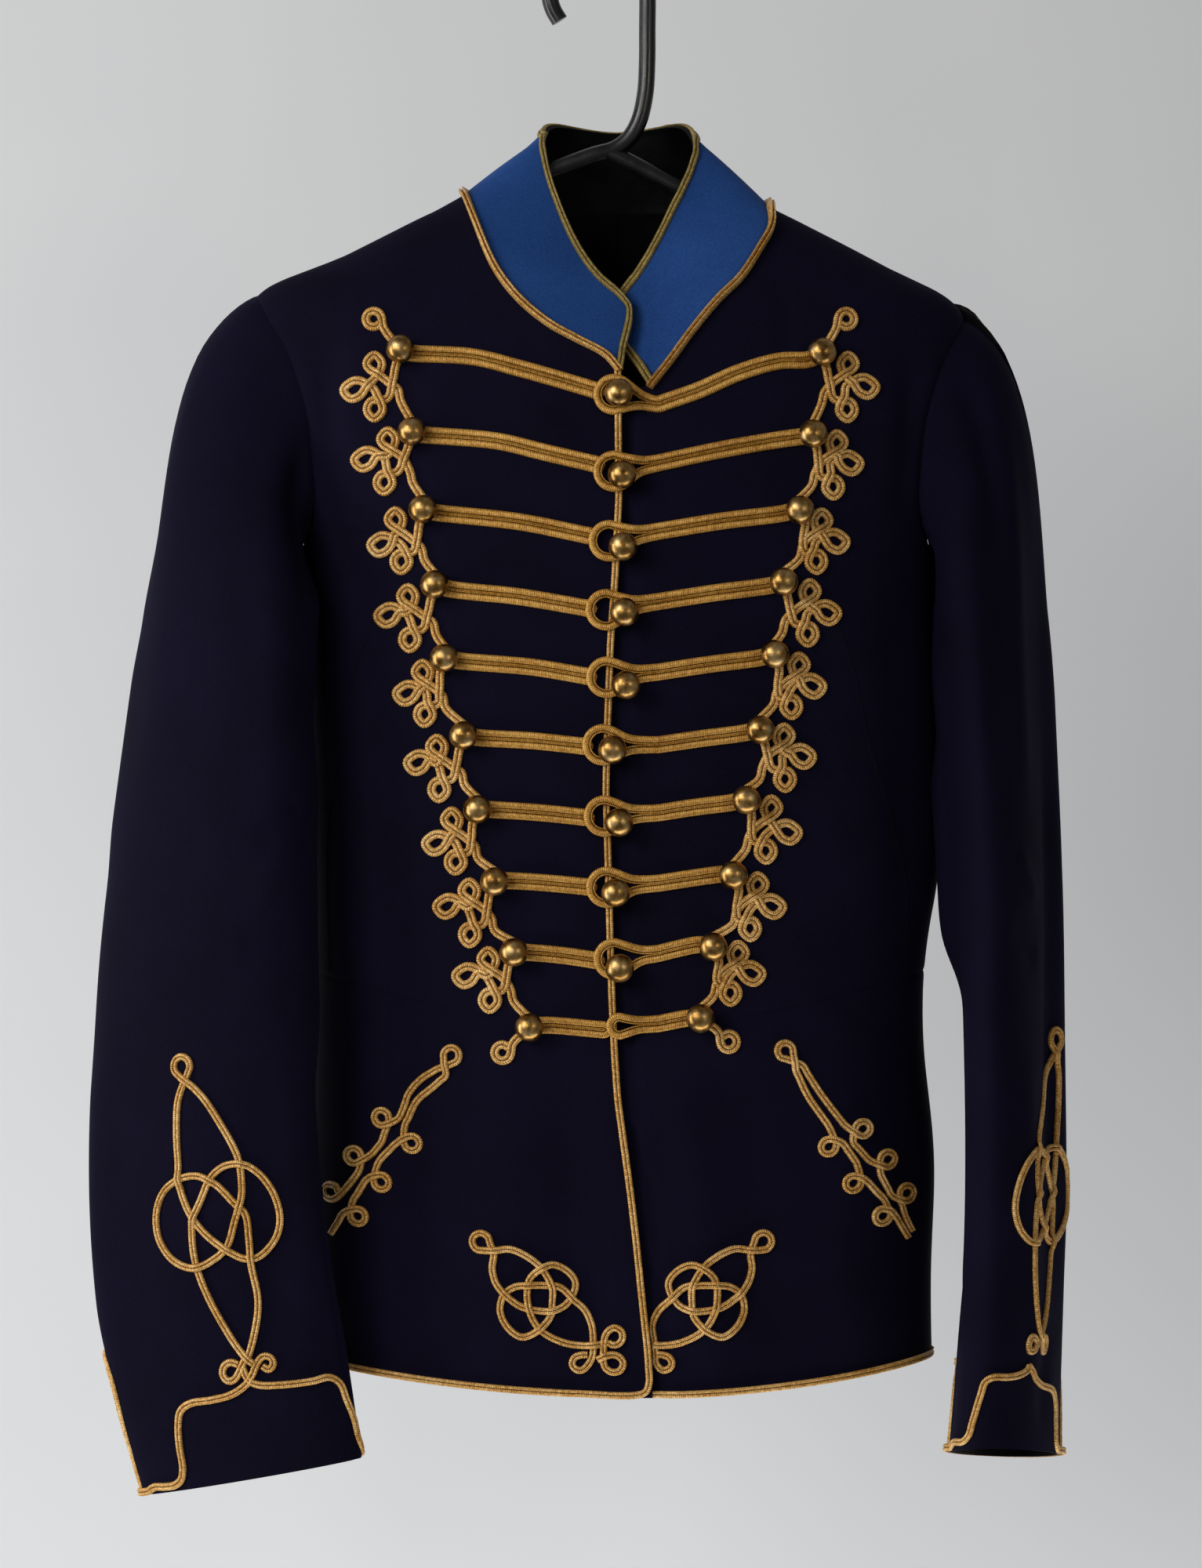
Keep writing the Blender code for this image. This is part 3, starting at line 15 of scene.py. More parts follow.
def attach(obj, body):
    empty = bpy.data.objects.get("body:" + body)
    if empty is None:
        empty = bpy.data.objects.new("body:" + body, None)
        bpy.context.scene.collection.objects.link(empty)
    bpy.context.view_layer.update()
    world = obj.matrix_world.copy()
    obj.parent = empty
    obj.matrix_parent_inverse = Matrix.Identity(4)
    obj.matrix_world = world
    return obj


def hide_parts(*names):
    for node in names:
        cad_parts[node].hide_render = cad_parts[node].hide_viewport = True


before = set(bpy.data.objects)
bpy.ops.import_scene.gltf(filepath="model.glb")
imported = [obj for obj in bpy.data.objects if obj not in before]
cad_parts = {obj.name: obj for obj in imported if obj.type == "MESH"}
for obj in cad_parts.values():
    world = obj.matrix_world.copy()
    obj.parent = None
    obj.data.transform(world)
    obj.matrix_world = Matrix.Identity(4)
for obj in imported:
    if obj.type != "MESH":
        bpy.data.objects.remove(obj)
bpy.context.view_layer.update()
MM = 0.001
CENTRE_X = 10.0


# Wall, light and camera
# A pale grey studio wall well behind the jacket, a large soft light up on the image-left side, a
# weaker one from the right, two that wash the wall, and two small lamps for the buttons' glints.
def tone(hex_colour):
    """A colour named as on a paint card, in the renderer's linear values."""
    parts = [int(hex_colour[i:i + 2], 16) / 255.0 for i in (1, 3, 5)]
    linear = [c / 12.92 if c <= 0.04045 else ((c + 0.055) / 1.055) ** 2.4 for c in parts]
    return (*linear, 1.0)


def new_material(name):
    made = bpy.data.materials.new(name)
    made.use_nodes = True
    return made


def plug(material, node, sockets):
    """Set a node's sockets to values, or plug what other nodes give into them."""
    for key, value in sockets.items():
        if isinstance(value, bpy.types.NodeSocket):
            material.node_tree.links.new(value, node.inputs[key])
        else:
            node.inputs[key].default_value = value


def add(material, kind, output, sockets, **settings):
    """A new node of a material; what it gives at the named output."""
    node = material.node_tree.nodes.new(kind)
    for key, value in settings.items():
        setattr(node, key, value)
    plug(material, node, sockets)
    return node.outputs[output]


def on_object(material):
    return add(material, "ShaderNodeTexCoord", "Object", {})


def on_flat(material):
    return add(material, "ShaderNodeUVMap", "UV", {}, uv_map="flat")


def noise(material, place, scale, detail, roughness=0.5):
    return add(material, "ShaderNodeTexNoise", "Fac",
               {"Vector": place, "Scale": scale, "Detail": detail, "Roughness": roughness})


def maths(material, operation, *terms):
    return add(material, "ShaderNodeMath", "Value", dict(enumerate(terms)), operation=operation)


def between(material, value, low, high, to_low, to_high):
    """A value brought from one range into another."""
    return add(material, "ShaderNodeMapRange", "Result",
               {"Value": value, "From Min": low, "From Max": high, "To Min": to_low, "To Max": to_high})


def bump(material, height, strength, distance):
    return add(material, "ShaderNodeBump", "Normal", {"Height": height, "Strength": strength, "Distance": distance})


def ramp(material, source, *stops):
    """A colour ramp over the given (place, colour) stops."""
    colour = add(material, "ShaderNodeValToRGB", "Color", {"Fac": source})
    band = colour.node.color_ramp
    while len(band.elements) < len(stops):
        band.elements.new(0.5)
    for element, (place, named) in zip(band.elements, stops):
        element.position = place
        element.color = tone(named)
    return colour


def finish(material, sockets):
    """Set and plug the material's surface shader."""
    plug(material, material.node_tree.nodes["Principled BSDF"], sockets)


wall_paint = new_material("wall_paint")
mottle = noise(wall_paint, on_object(wall_paint), 2.2, 3.0)
finish(wall_paint, {"Roughness": 0.9, "Specular IOR Level": 0.1,
                    "Base Color": ramp(wall_paint, mottle, (0.3, "#cbcccd"), (0.7, "#d1d2d3"))})
# Seen from behind, the wall lets the look through to the jacket's back.
painted = wall_paint.node_tree.nodes["Principled BSDF"].outputs["BSDF"]
clear = add(wall_paint, "ShaderNodeBsdfTransparent", "BSDF", {})
behind = add(wall_paint, "ShaderNodeNewGeometry", "Backfacing", {})
one_sided = add(wall_paint, "ShaderNodeMixShader", "Shader", {0: behind, 1: painted, 2: clear})
plug(wall_paint, wall_paint.node_tree.nodes["Material Output"], {"Surface": one_sided})

WALL_SIZE, WALL_BEHIND = 6.0, 0.55
bpy.ops.mesh.primitive_plane_add(size=WALL_SIZE, location=(0.0, WALL_BEHIND, -0.5),
                                 rotation=(math.radians(90), 0, 0))
wall = bpy.context.object
wall.name = "wall"
bpy.ops.object.transform_apply(location=True, rotation=True, scale=True)
wall.data.materials.append(wall_paint)

# Each lamp: where it stands, what it is turned to, its two sides, its power and its colour.
LAMPS = (
    ("window_left", (-1.9, -2.0, 0.75), (-0.05, 0.0, -0.4), (1.3, 1.6), 46.0, "#ffffff"),
    ("fill_right", (2.4, -2.6, 0.2), (0.0, 0.0, -0.5), (1.4, 1.8), 3.0, "#ffffff"),
    ("wall_wash", (-1.7, -0.4, -0.7), (-0.7, 0.55, -0.7), (0.5, 1.6), 18.0, "#ffffff"),
    ("wall_wash_low", (0.35, -0.25, -1.75), (0.35, 0.55, -0.95), (1.8, 0.4), 13.0, "#ffffff"),
    ("glint_left", (-0.75, -2.3, 0.1), (0.0, 0.0, -0.4), (0.3, 0.42), 5.0, "#fff6e6"),
    ("glint_right", (1.25, -2.2, 0.0), (0.0, 0.0, -0.4), (0.25, 0.4), 4.0, "#fff6e6"))
for name, place, target, sides, power, colour in LAMPS:
    bpy.ops.object.light_add(type="AREA", location=place)
    lamp = bpy.context.object
    lamp.name = name
    lamp.data.shape = "RECTANGLE"
    lamp.data.size, lamp.data.size_y = sides
    lamp.data.energy = power
    lamp.data.color = tone(colour)[:3]
    lamp.rotation_euler = (Vector(place) - Vector(target)).to_track_quat("Z", "Y").to_euler()

world = bpy.data.worlds.new("studio")
bpy.context.scene.world = world
world.use_nodes = True
world.node_tree.nodes["Background"].inputs["Color"].default_value = tone("#dfe1e6")
world.node_tree.nodes["Background"].inputs["Strength"].default_value = 0.22

SENSOR, LENS_AWAY, SEEN_HEIGHT = 36.0, 4.0, 0.86
bpy.ops.object.camera_add(location=(0.0015, -4.05, -0.463), rotation=(math.radians(90), 0, 0))
camera = bpy.context.object
camera.data.sensor_fit = "VERTICAL"
camera.data.sensor_height = SENSOR
camera.data.lens = SENSOR * LENS_AWAY / SEEN_HEIGHT
bpy.context.scene.camera = camera
bpy.context.scene.view_settings.view_transform = "Standard"


# Lines and surfaces
# The body is one smooth surface round the chest. Each cut piece is a patch of it between its own
# seams, drawn here about seven times finer than the frame so that the cloth can fold.
def unit(vectors):
    return vectors / np.maximum(np.linalg.norm(vectors, axis=-1, keepdims=True), 1e-12)


def lengths_along(line):
    steps = np.linalg.norm(np.diff(line, axis=0), axis=1)
    return np.concatenate(([0.0], np.cumsum(steps)))


def spans(points):
    """Distances over a grid of places: along each row, and down each column."""
    across, down = (np.cumsum(np.linalg.norm(np.diff(points, axis=axis), axis=2), axis=axis) for axis in (1, 0))
    return np.pad(across, ((0, 0), (1, 0))), np.pad(down, ((1, 0), (0, 0)))


def at_shares(line, shares):
    """Places at the given shares of a polyline's length."""
    line = np.asarray(line, dtype=float)
    along = lengths_along(line)
    places = np.asarray(shares) * along[-1]
    return np.stack([np.interp(places, along, line[:, axis]) for axis in range(line.shape[1])], axis=1)


def smooth_line(points, step):
    """A smooth line through given points, in even steps."""
    points = np.asarray(points, dtype=float)
    apart = np.linalg.norm(np.diff(points[:, :2], axis=0), axis=1)
    points = points[np.concatenate(([True], apart > 1e-6))]
    time = np.concatenate(([0.0], np.cumsum(np.sqrt(np.linalg.norm(np.diff(points, axis=0), axis=1)))))
    slopes = np.gradient(points, time, axis=0)
    dense = []
    share = np.linspace(0.0, 1.0, 16, endpoint=False)[:, None]
    for i in range(len(points) - 1):
        gap = time[i + 1] - time[i]
        dense.append((2 * share ** 3 - 3 * share ** 2 + 1) * points[i]
                     + (share ** 3 - 2 * share ** 2 + share) * gap * slopes[i]
                     + (3 * share ** 2 - 2 * share ** 3) * points[i + 1]
                     + (share ** 3 - share ** 2) * gap * slopes[i + 1])
    dense.append(points[-1:])
    line = np.concatenate(dense)
    count = max(2, int(round(lengths_along(line)[-1] / step)))
    return at_shares(line, np.linspace(0.0, 1.0, count + 1))


def smoothstep(value):
    value = np.clip(value, 0.0, 1.0)
    return value * value * (3.0 - 2.0 * value)


# Half widths to the image-left and the image-right, and half depths to the front and the back.
BODY = np.array(((-120, 44, 44, 30, 30), (-140.5, 84, 84, 37, 37), (-165, 133, 132, 46, 45),
    (-198, 200, 191, 56, 54), (-222, 203, 196, 62, 59), (-265, 192, 189, 72, 66), (-300, 181, 181, 79, 70),
    (-340, 174, 177, 84, 73), (-400, 172, 179, 87, 74), (-460, 170, 181, 86, 72), (-510, 169, 180, 83, 69),
    (-555, 168, 171, 81, 67), (-600, 168, 169, 81, 67), (-700, 172, 173, 84, 69), (-820, 176, 176, 86, 71)))[::-1]
SQUARENESS = 2.5
NECKLINE_LEFT = ((84, -140.5), (78, -156), (67, -179), (54, -196.5), (37, -211), (21, -220), (5.5, -228.5),
    (-2.5, -238))
NECKLINE_RIGHT = ((84, -140.5), (85, -155), (79, -168), (68, -185), (56, -197), (42, -214), (29, -232), (18, -246))
NECKLINE_BACK = ((84, -140.5), (62, -146.5), (33, -149.5), (0, -150.5))
ARMHOLE_FRONT = ((198, -198), (191, -212), (181, -230), (174, -250), (170, -266), (167.5, -287), (166.5, -310),
    (170, -326), (176, -336))
ARMHOLE_BACK = ((198, -198), (189, -214), (180, -236), (175, -262), (172, -290), (173, -318), (176, -336))
FRONT_EDGE = np.array(((-238, 2.5), (-308, 3), (-349, 1), (-386, -1.5), (-427, -3), (-465, -4), (-498, -3),
    (-538, -2), (-581, -0.7), (-609, 0.6), (-634, 2.3), (-687, 9.5), (-710, 12.2), (-748, 16.1), (-775, 19),
    (-797, 19.5)))[::-1]
ARMHOLE_CENTRE_Z = -290.0
SIDE_DROP = 1.5
WAIST_CENTRE_Z, WAIST_SIDE_Z = -594.0, -566.0
HEM_CENTRE_Z, HEM_SIDE_Z = -797.0, -779.0
NECK, ARMHOLE, WAIST, SKIRT = 5.0, 7.0, 14.0, 4.0
LAP_RAMP = 14.0
UNDERLAP = 17.0


def with_seam_rows(start, end, step):
    """Row places with closer rows beside both seams."""
    even = np.arange(start, end + step / 2.0, step)
    extra = np.array((0.05, 0.11)) * step * 7.0
    return np.unique(np.round(np.concatenate((even, start + extra, end - extra)), 6))


ROWS = with_seam_rows(0.0, WAIST, 1.0 / 7.0)
SKIRT_ROWS = with_seam_rows(0.0, SKIRT, 1.0 / 14.0)[1:]
ACROSS = np.unique(np.concatenate((np.linspace(0.0, 1.0, 49), (0.006, 0.014, 0.986, 0.994))))


def body_column(column, z):
    """A half size of the body at height z, with the corners of its run rounded."""
    span = 9.0 + 12.0 * np.clip((-z - 240.0) / 60.0, 0.0, 1.0)
    samples = z[..., None] + span[..., None] * np.linspace(-1.0, 1.0, 9)
    return np.interp(samples, BODY[:, 0], BODY[:, column]).mean(axis=-1)


def body_at(angle, z):
    """Places on the body; angle 0 is the centre front, +-90 the sides."""
    sine, cosine = np.sin(np.radians(angle)), np.cos(np.radians(angle))
    wide = np.where(sine < 0, body_column(1, z), body_column(2, z))
    deep = np.where(cosine >= 0, body_column(3, z), body_column(4, z))
    x = np.sign(sine) * np.abs(sine) ** (2.0 / SQUARENESS) * wide + CENTRE_X
    y = -np.sign(cosine) * np.abs(cosine) ** (2.0 / SQUARENESS) * deep
    return np.stack((x, y, z), axis=-1) * MM


def angle_at(x, z, side, half):
    """The body angle of a place in the front view, or in the back view when half is -1."""
    x, z = np.asarray(x, dtype=float), np.asarray(z, dtype=float)
    sign = np.where(np.abs(x) < 1e-9, side, np.sign(x))
    wide = np.where(sign < 0, body_column(1, z), body_column(2, z))
    angle = np.degrees(np.arcsin(np.minimum(np.abs(x) / wide, 1.0) ** (SQUARENESS / 2.0)))
    return sign * (angle if half > 0 else 180.0 - angle)


def front_edge_x(z):
    return np.interp(z, FRONT_EDGE[:, 0], FRONT_EDGE[:, 1])


def quarter(side, half, neckline, armhole, centre_x):
    """One quarter of the body from shoulder to hem, centre to side."""
    neck = at_shares(smooth_line(neckline, 1.0), ROWS[ROWS <= NECK] / NECK)
    centre_rows = ROWS[ROWS > NECK]
    centre_z = np.interp(centre_rows, (NECK, ARMHOLE, WAIST), (neckline[-1][1], ARMHOLE_CENTRE_Z, WAIST_CENTRE_Z))
    inner_z = np.concatenate((neck[:, 1], centre_z))
    inner = np.concatenate((angle_at(side * neck[:, 0], neck[:, 1], side, half),
                            angle_at(centre_x(centre_z), centre_z, side, half)))
    inner[0] = side * 90.0
    arm = at_shares(smooth_line(armhole, 1.0), ROWS[ROWS <= ARMHOLE] / ARMHOLE)
    side_z = np.interp(ROWS[ROWS > ARMHOLE], (ARMHOLE, WAIST), (armhole[-1][1], WAIST_SIDE_Z))
    outer_z = np.concatenate((arm[:, 1], side_z))
    outer = np.full(len(ROWS), side * 90.0)
    outer[1:len(arm) - 1] = angle_at(side * arm[1:-1, 0], arm[1:-1, 1], side, half)
    angle = inner[:, None] + (outer - inner)[:, None] * ACROSS
    level = np.clip((ROWS - ARMHOLE) / (WAIST - ARMHOLE), 0.0, 1.0)[:, None]
    fall = ACROSS * (2.0 - ACROSS) * (1.0 - level) + np.abs(np.sin(np.radians(angle))) ** SIDE_DROP * level
    z = inner_z[:, None] + (outer_z - inner_z)[:, None] * fall
    waist_angle, waist_z = angle[-1], z[-1]
    hem_z = HEM_CENTRE_Z + (HEM_SIDE_Z - HEM_CENTRE_Z) * np.abs(np.sin(np.radians(waist_angle))) ** SIDE_DROP
    skirt_z = waist_z + (hem_z - waist_z) * (SKIRT_ROWS / SKIRT)[:, None]
    skirt_inner = angle_at(centre_x(skirt_z), skirt_z, side, half)
    skirt_angle = skirt_inner + (side * 90.0 - skirt_inner) * ACROSS
    return body_at(np.concatenate((angle, skirt_angle)), np.concatenate((z, skirt_z)))


def normals_of(points, closed=False):
    """Outward normals of a grid of places. The last column of a closed grid is its first again."""
    grid = np.concatenate((points[:, -2:-1], points, points[:, 1:2]), axis=1) if closed else points
    normals = unit(np.cross(np.gradient(grid, axis=1), np.gradient(grid, axis=0)))
    if closed:
        normals = normals[:, 1:-1]
    centre = points.mean(axis=1, keepdims=True) if closed else points.reshape(-1, 3).mean(axis=0)
    return -normals if ((points - centre) * normals).sum() < 0 else normals


# Folds
# Creases that the cloth has taken on the hanger, placed from the photograph: a line, how
# far to each side it reaches, and how far it stands out (a trough is below zero).
def folded(points, normals, flat, folds, room):
    """Move a grid of places along its normals by its folds, faded out where room is nothing."""
    height = np.zeros(points.shape[:2])
    for line, reach, rise in folds:
        line = smooth_line(line, 12.0)
        nearest = np.full(points.shape[:2], 1e9)
        share = np.zeros(points.shape[:2])
        along = lengths_along(line)
        for i in range(len(line) - 1):
            run = line[i + 1] - line[i]
            foot = np.clip(((flat - line[i]) @ run) / (run @ run), 0.0, 1.0)
            away = np.linalg.norm(flat - line[i] - foot[..., None] * run, axis=-1)
            closer = away < nearest
            nearest = np.where(closer, away, nearest)
            share = np.where(closer, (along[i] + foot * (along[i + 1] - along[i])) / along[-1], share)
        fade = smoothstep(share * 4.0) * smoothstep((1.0 - share) * 4.0)
        height += rise * fade * np.exp(-(nearest / reach) ** 2)
    return points + normals * (height * room)[..., None] * MM


def front_flat(points):
    """Places as drawn in the front view, in millimetres from the centre line."""
    return points[..., (0, 2)] / MM - np.array((CENTRE_X, 0.0))


def seam_room(points, top=12.0, sides=14.0):
    """One inside a piece, nothing at its shoulder and side seams."""
    from_side, from_top = spans(points[:, ::-1])[0][:, ::-1], spans(points)[1]
    return smoothstep(from_side / MM / sides) * smoothstep(from_top / MM / top)


FRONT_FOLDS_LEFT = (
    (((-157, -212), (-160, -250), (-158, -292), (-160, -330)), 9, -2.6),
    (((-140, -205), (-143, -250), (-146, -300)), 11, 1.4),
    (((-60, -226), (-34, -236), (-12, -249)), 5, -0.9),
    (((-92, -205), (-70, -214), (-48, -226)), 6, 0.9),
    (((-152, -330), (-146, -400), (-150, -470), (-148, -540)), 12, -1.8),
    (((-62, -258), (-38, -268), (-16, -281)), 7, 0.9),
    (((-55, -300), (-34, -309), (-14, -314)), 6, 0.7),
    (((-48, -343), (-30, -348), (-13, -352)), 6, 0.6),
    (((-52, -468), (-34, -462), (-16, -463)), 7, 0.7),
    (((-44, -541), (-28, -538), (-13, -541)), 6, 0.7),
    (((-60, -600), (-58, -660), (-66, -740), (-70, -800)), 17, 2.2),
    (((-30, -620), (-22, -690), (-18, -760), (-20, -800)), 12, -1.8),
    (((-112, -596), (-108, -680), (-118, -790)), 15, -1.6),
    (((-146, -590), (-150, -660), (-150, -780)), 11, 2),
)
FRONT_FOLDS_RIGHT = (
    (((86, -182), (92, -205), (95, -236)), 5.5, -1.1),
    (((160, -215), (162, -260), (160, -325)), 9, -2.4),
    (((143, -206), (146, -250), (148, -300)), 11, 1.3),
    (((152, -330), (156, -400), (160, -480), (158, -560)), 11, -2.6),
    (((30, -262), (46, -262), (66, -252)), 6, 0.8),
    (((28, -305), (48, -301), (70, -297)), 6, 0.6),
    (((28, -458), (44, -456), (60, -452)), 6, 0.7),
    (((28, -536), (40, -536), (52, -532)), 6, 0.6),
    (((132, -350), (128, -420), (134, -500)), 14, 1.4),
    (((34, -612), (44, -680), (52, -800)), 14, 2.4),
    (((64, -606), (74, -690), (88, -800)), 15, -1.8),
    (((118, -596), (122, -680), (128, -790)), 14, 1.8),
    (((152, -590), (156, -680), (158, -785)), 10, -1.6),
)
BACK_FOLDS = (
    (((-150, -215), (-152, -260), (-150, -325)), 10, -2.4),
    (((-128, -200), (-126, -260), (-120, -330)), 13, 1.6),
    (((-60, -175), (-64, -230), (-58, -300)), 14, -1),
    (((-40, -520), (-70, -545), (-110, -552)), 10, 1.6),
    (((-34, -560), (-66, -572), (-96, -572)), 8, -1.3),
    (((-36, -600), (-40, -690), (-48, -800)), 15, 2.4),
    (((-80, -596), (-86, -690), (-96, -795)), 15, -2.2),
    (((-126, -590), (-130, -680), (-136, -785)), 13, 2),
    (((62, -178), (66, -240), (58, -290)), 15, -1.1),
    (((148, -215), (150, -260), (150, -325)), 10, -2.2),
    (((124, -202), (128, -262), (118, -335)), 12, 1.4),
    (((38, -526), (74, -548), (112, -556)), 11, 1.4),
    (((34, -600), (42, -690), (46, -800)), 14, -2),
    (((84, -596), (88, -690), (100, -795)), 15, 2.3),
    (((130, -590), (134, -680), (138, -785)), 12, -1.8),
)

# The hanger holds the image-left shoulder higher than the other, and the collar stands up behind.
LIFT = np.array(((-235, 7), (-190, 7), (-150, 4), (-88, 5), (-45, 8.5), (45, 8.5), (88, -1.5), (150, -1), (190, 2),
    (235, 3)))
# Over its hip the image-right skirt stands out.
FLARE, FLARE_Z, FLARE_REACH = 4.5, -668.0, 50.0


def settled(points, share=1.0):
    """Places moved to where the hanger and its own weight bring them."""
    x, z = points[..., 0] / MM - CENTRE_X, points[..., 2] / MM
    low = np.interp(np.abs(x), (100.0, 170.0), (-185.0, -320.0))
    span = np.interp(np.abs(x), (100.0, 170.0), (45.0, 110.0))
    share = share * smoothstep((z - low) / span)
    flare = FLARE * np.exp(-((z - FLARE_Z) / FLARE_REACH) ** 2) * smoothstep((x - 90.0) / 70.0) * (x < 190.0)
    moved = points.copy()
    moved[..., 2] += np.interp(x, LIFT[:, 0], LIFT[:, 1]) * share * MM
    outward = np.interp(x, (-230.0, -160.0), (-5.0, 0.0)) * smoothstep((z + 262.0) / 50.0)
    moved[..., 0] += (outward * share + flare) * MM
    return moved


def hang(points, folds):
    """A quarter of the body with its folds, settled on the hanger."""
    return settled(folded(points, normals_of(points), front_flat(points), folds, seam_room(points)))


def under_front_edge_x(z):
    return front_edge_x(z) + LAP_RAMP


left_front = hang(quarter(-1.0, 1.0, NECKLINE_LEFT, ARMHOLE_FRONT, front_edge_x), FRONT_FOLDS_LEFT)
right_front = hang(quarter(1.0, 1.0, NECKLINE_RIGHT, ARMHOLE_FRONT, under_front_edge_x), FRONT_FOLDS_RIGHT)
left_back, right_back = (hang(quarter(side, -1.0, NECKLINE_BACK, ARMHOLE_BACK, np.zeros_like), BACK_FOLDS)
                         for side in (-1.0, 1.0))

# The under front reaches behind the upper front below the collar and sinks away under it.
LAP_COLUMNS = 11
LAP_SINK = 3.2
lap_z = np.repeat(right_front[:, :1, 2] / MM, LAP_COLUMNS, axis=1)
lap_x = front_edge_x(lap_z) + np.linspace(-UNDERLAP, LAP_RAMP, LAP_COLUMNS + 1)[:-1]
lap_points = body_at(angle_at(lap_x, lap_z, 1.0, 1.0), lap_z)
wide_front = np.concatenate((lap_points, right_front), axis=1)
past_edge = front_flat(wide_front)[..., 0] - front_edge_x(wide_front[..., 2] / MM)
sink = LAP_SINK * smoothstep((LAP_RAMP - past_edge) / (LAP_RAMP - 1.5))
sunk_front = wide_front - normals_of(wide_front) * sink[..., None] * MM


# Cloth
# Fine blue-black wool, milled until the weave hardly shows. Each piece is a wall two millimetres
# thick with the lining on its inner side, its edges turned in where it is sewn to the next.
WALL = 2.0
# How far sewn edges reach over each other and free edges stay back, and how far both turn inwards.
SEWN_REACH, FREE_BACK = 0.2, 0.1
SEWN_TURN, FREE_TURN, TURN_REACH = 0.75, 0.35, 1.5


def choose(active, *others):
    """Select these objects and make the first the active one."""
    bpy.ops.object.select_all(action="DESELECT")
    for thing in (active, *others):
        thing.select_set(True)
    bpy.context.view_layer.objects.active = active


def declare(made, node):
    """Hide the solid that a finished piece stands for, and hang the piece from the root."""
    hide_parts(node)
    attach(made, "root")


def quads(rows, columns):
    """Corner numbers of the faces of a grid."""
    index = np.arange(rows * columns).reshape(rows, columns)
    return np.stack((index[:-1, :-1], index[1:, :-1], index[1:, 1:], index[:-1, 1:]), axis=-1)


class Piece:
    """Gathers one piece: its places, its faces, and each face's flat coordinates and finish."""

    def __init__(self, places=()):
        self.places, self.faces, self.flats, self.finishes = list(places), [], [], []

    def add_faces(self, faces, flats, finish_number=0):
        for face, flat in zip(faces, flats):
            self.faces.append(face)
            self.flats.extend(flat)
            self.finishes.append(finish_number)

    def add_grid(self, points, flats):
        start = len(self.places)
        self.places.extend(points.reshape(-1, 3).tolist())
        corners = quads(*points.shape[:2]).reshape(-1, 4)
        self.add_faces((start + corners).tolist(), flats.reshape(-1, 2)[corners].tolist())
        return start

    def make(self, name, materials, node, sharp=38.0):
        mesh = bpy.data.meshes.new(name)
        mesh.from_pydata(self.places, [], self.faces)
        layer = mesh.uv_layers.new(name="flat")
        layer.uv.foreach_set("vector", np.array(self.flats, dtype=np.float32).ravel())
        for material in materials:
            mesh.materials.append(material)
        mesh.polygons.foreach_set("material_index", self.finishes)
        made = bpy.data.objects.new(name, mesh)
        bpy.context.scene.collection.objects.link(made)
        choose(made)
        bpy.ops.object.mode_set(mode="EDIT")
        bpy.ops.mesh.select_all(action="SELECT")
        bpy.ops.mesh.normals_make_consistent(inside=False)
        bpy.ops.object.mode_set(mode="OBJECT")
        bpy.ops.object.shade_smooth_by_angle(angle=math.radians(sharp))
        declare(made, node)
        return made


def wall_of_cloth(name, points, normals, node, slot, materials, seams, skip_rows=0, skip_columns=0, rim=0,
                  tuck=SEWN_REACH):
    """A wall from a grid of outer places. seams says which sides (top, bottom, first, last) are sewn."""
    points = points.copy()
    for index, nxt, side, reach in ((0, 1, "top", tuck), (-1, -2, "bottom", SEWN_REACH)):
        points[index] += unit(points[nxt] - points[index]) * (-reach if side in seams else FREE_BACK) * MM
    for index, nxt, side in ((0, 1, "first"), (-1, -2, "last")):
        points[:, index] += (unit(points[:, nxt] - points[:, index])
                             * (-SEWN_REACH if side in seams else FREE_BACK) * MM)
    rows, columns = points.shape[:2]
    across, down = spans(points)
    flats = np.stack((across - across.mean(axis=1, keepdims=True),
                      np.broadcast_to(down[:, columns // 2][:, None], across.shape)), axis=2)
    across, down = across / MM, down / MM
    distances = {"top": down, "bottom": down[-1] - down, "first": across, "last": across[:, -1:] - across}
    for side, distance in distances.items():
        depth = SEWN_TURN if side in seams else FREE_TURN
        points = points - normals * (depth * np.exp(-(distance / TURN_REACH) ** 2))[..., None] * MM
    inner = points - normals * WALL * MM
    piece = Piece(np.concatenate((points, inner)).reshape(-1, 3).tolist())
    count = rows * columns
    flat_rows = flats.reshape(-1, 2).tolist()
    corners_of = quads(rows, columns).tolist()
    # A border of absent faces shows where the wall ends.
    present = np.zeros((rows + 1, columns + 1), dtype=bool)
    present[1:-1, 1:-1] = True
    present[1:1 + skip_rows, 1:1 + skip_columns] = False
    for r, c in (np.argwhere(present) - 1).tolist():
        corners = corners_of[r][c]
        back = corners[::-1]
        piece.add_faces([corners], [[flat_rows[i] for i in corners]], 0)
        piece.add_faces([[i + count for i in back]], [[flat_rows[i] for i in back]], 1)
        for (dr, dc), (a, b) in (((-1, 0), (3, 0)), ((1, 0), (1, 2)), ((0, -1), (0, 1)), ((0, 1), (2, 3))):
            if not present[r + 1 + dr, c + 1 + dc]:
                i, j = corners[a], corners[b]
                piece.add_faces([[j, i, i + count, j + count]], [[flat_rows[k] for k in (j, i, i, j)]], rim)
    used = sorted({i for face in piece.faces for i in face})
    place_of = {old: new for new, old in enumerate(used)}
    piece.places = [piece.places[i] for i in used]
    piece.faces = [[place_of[i] for i in face] for face in piece.faces]
    return piece.make(name, materials, node)


TWILL_TURN = 38.0


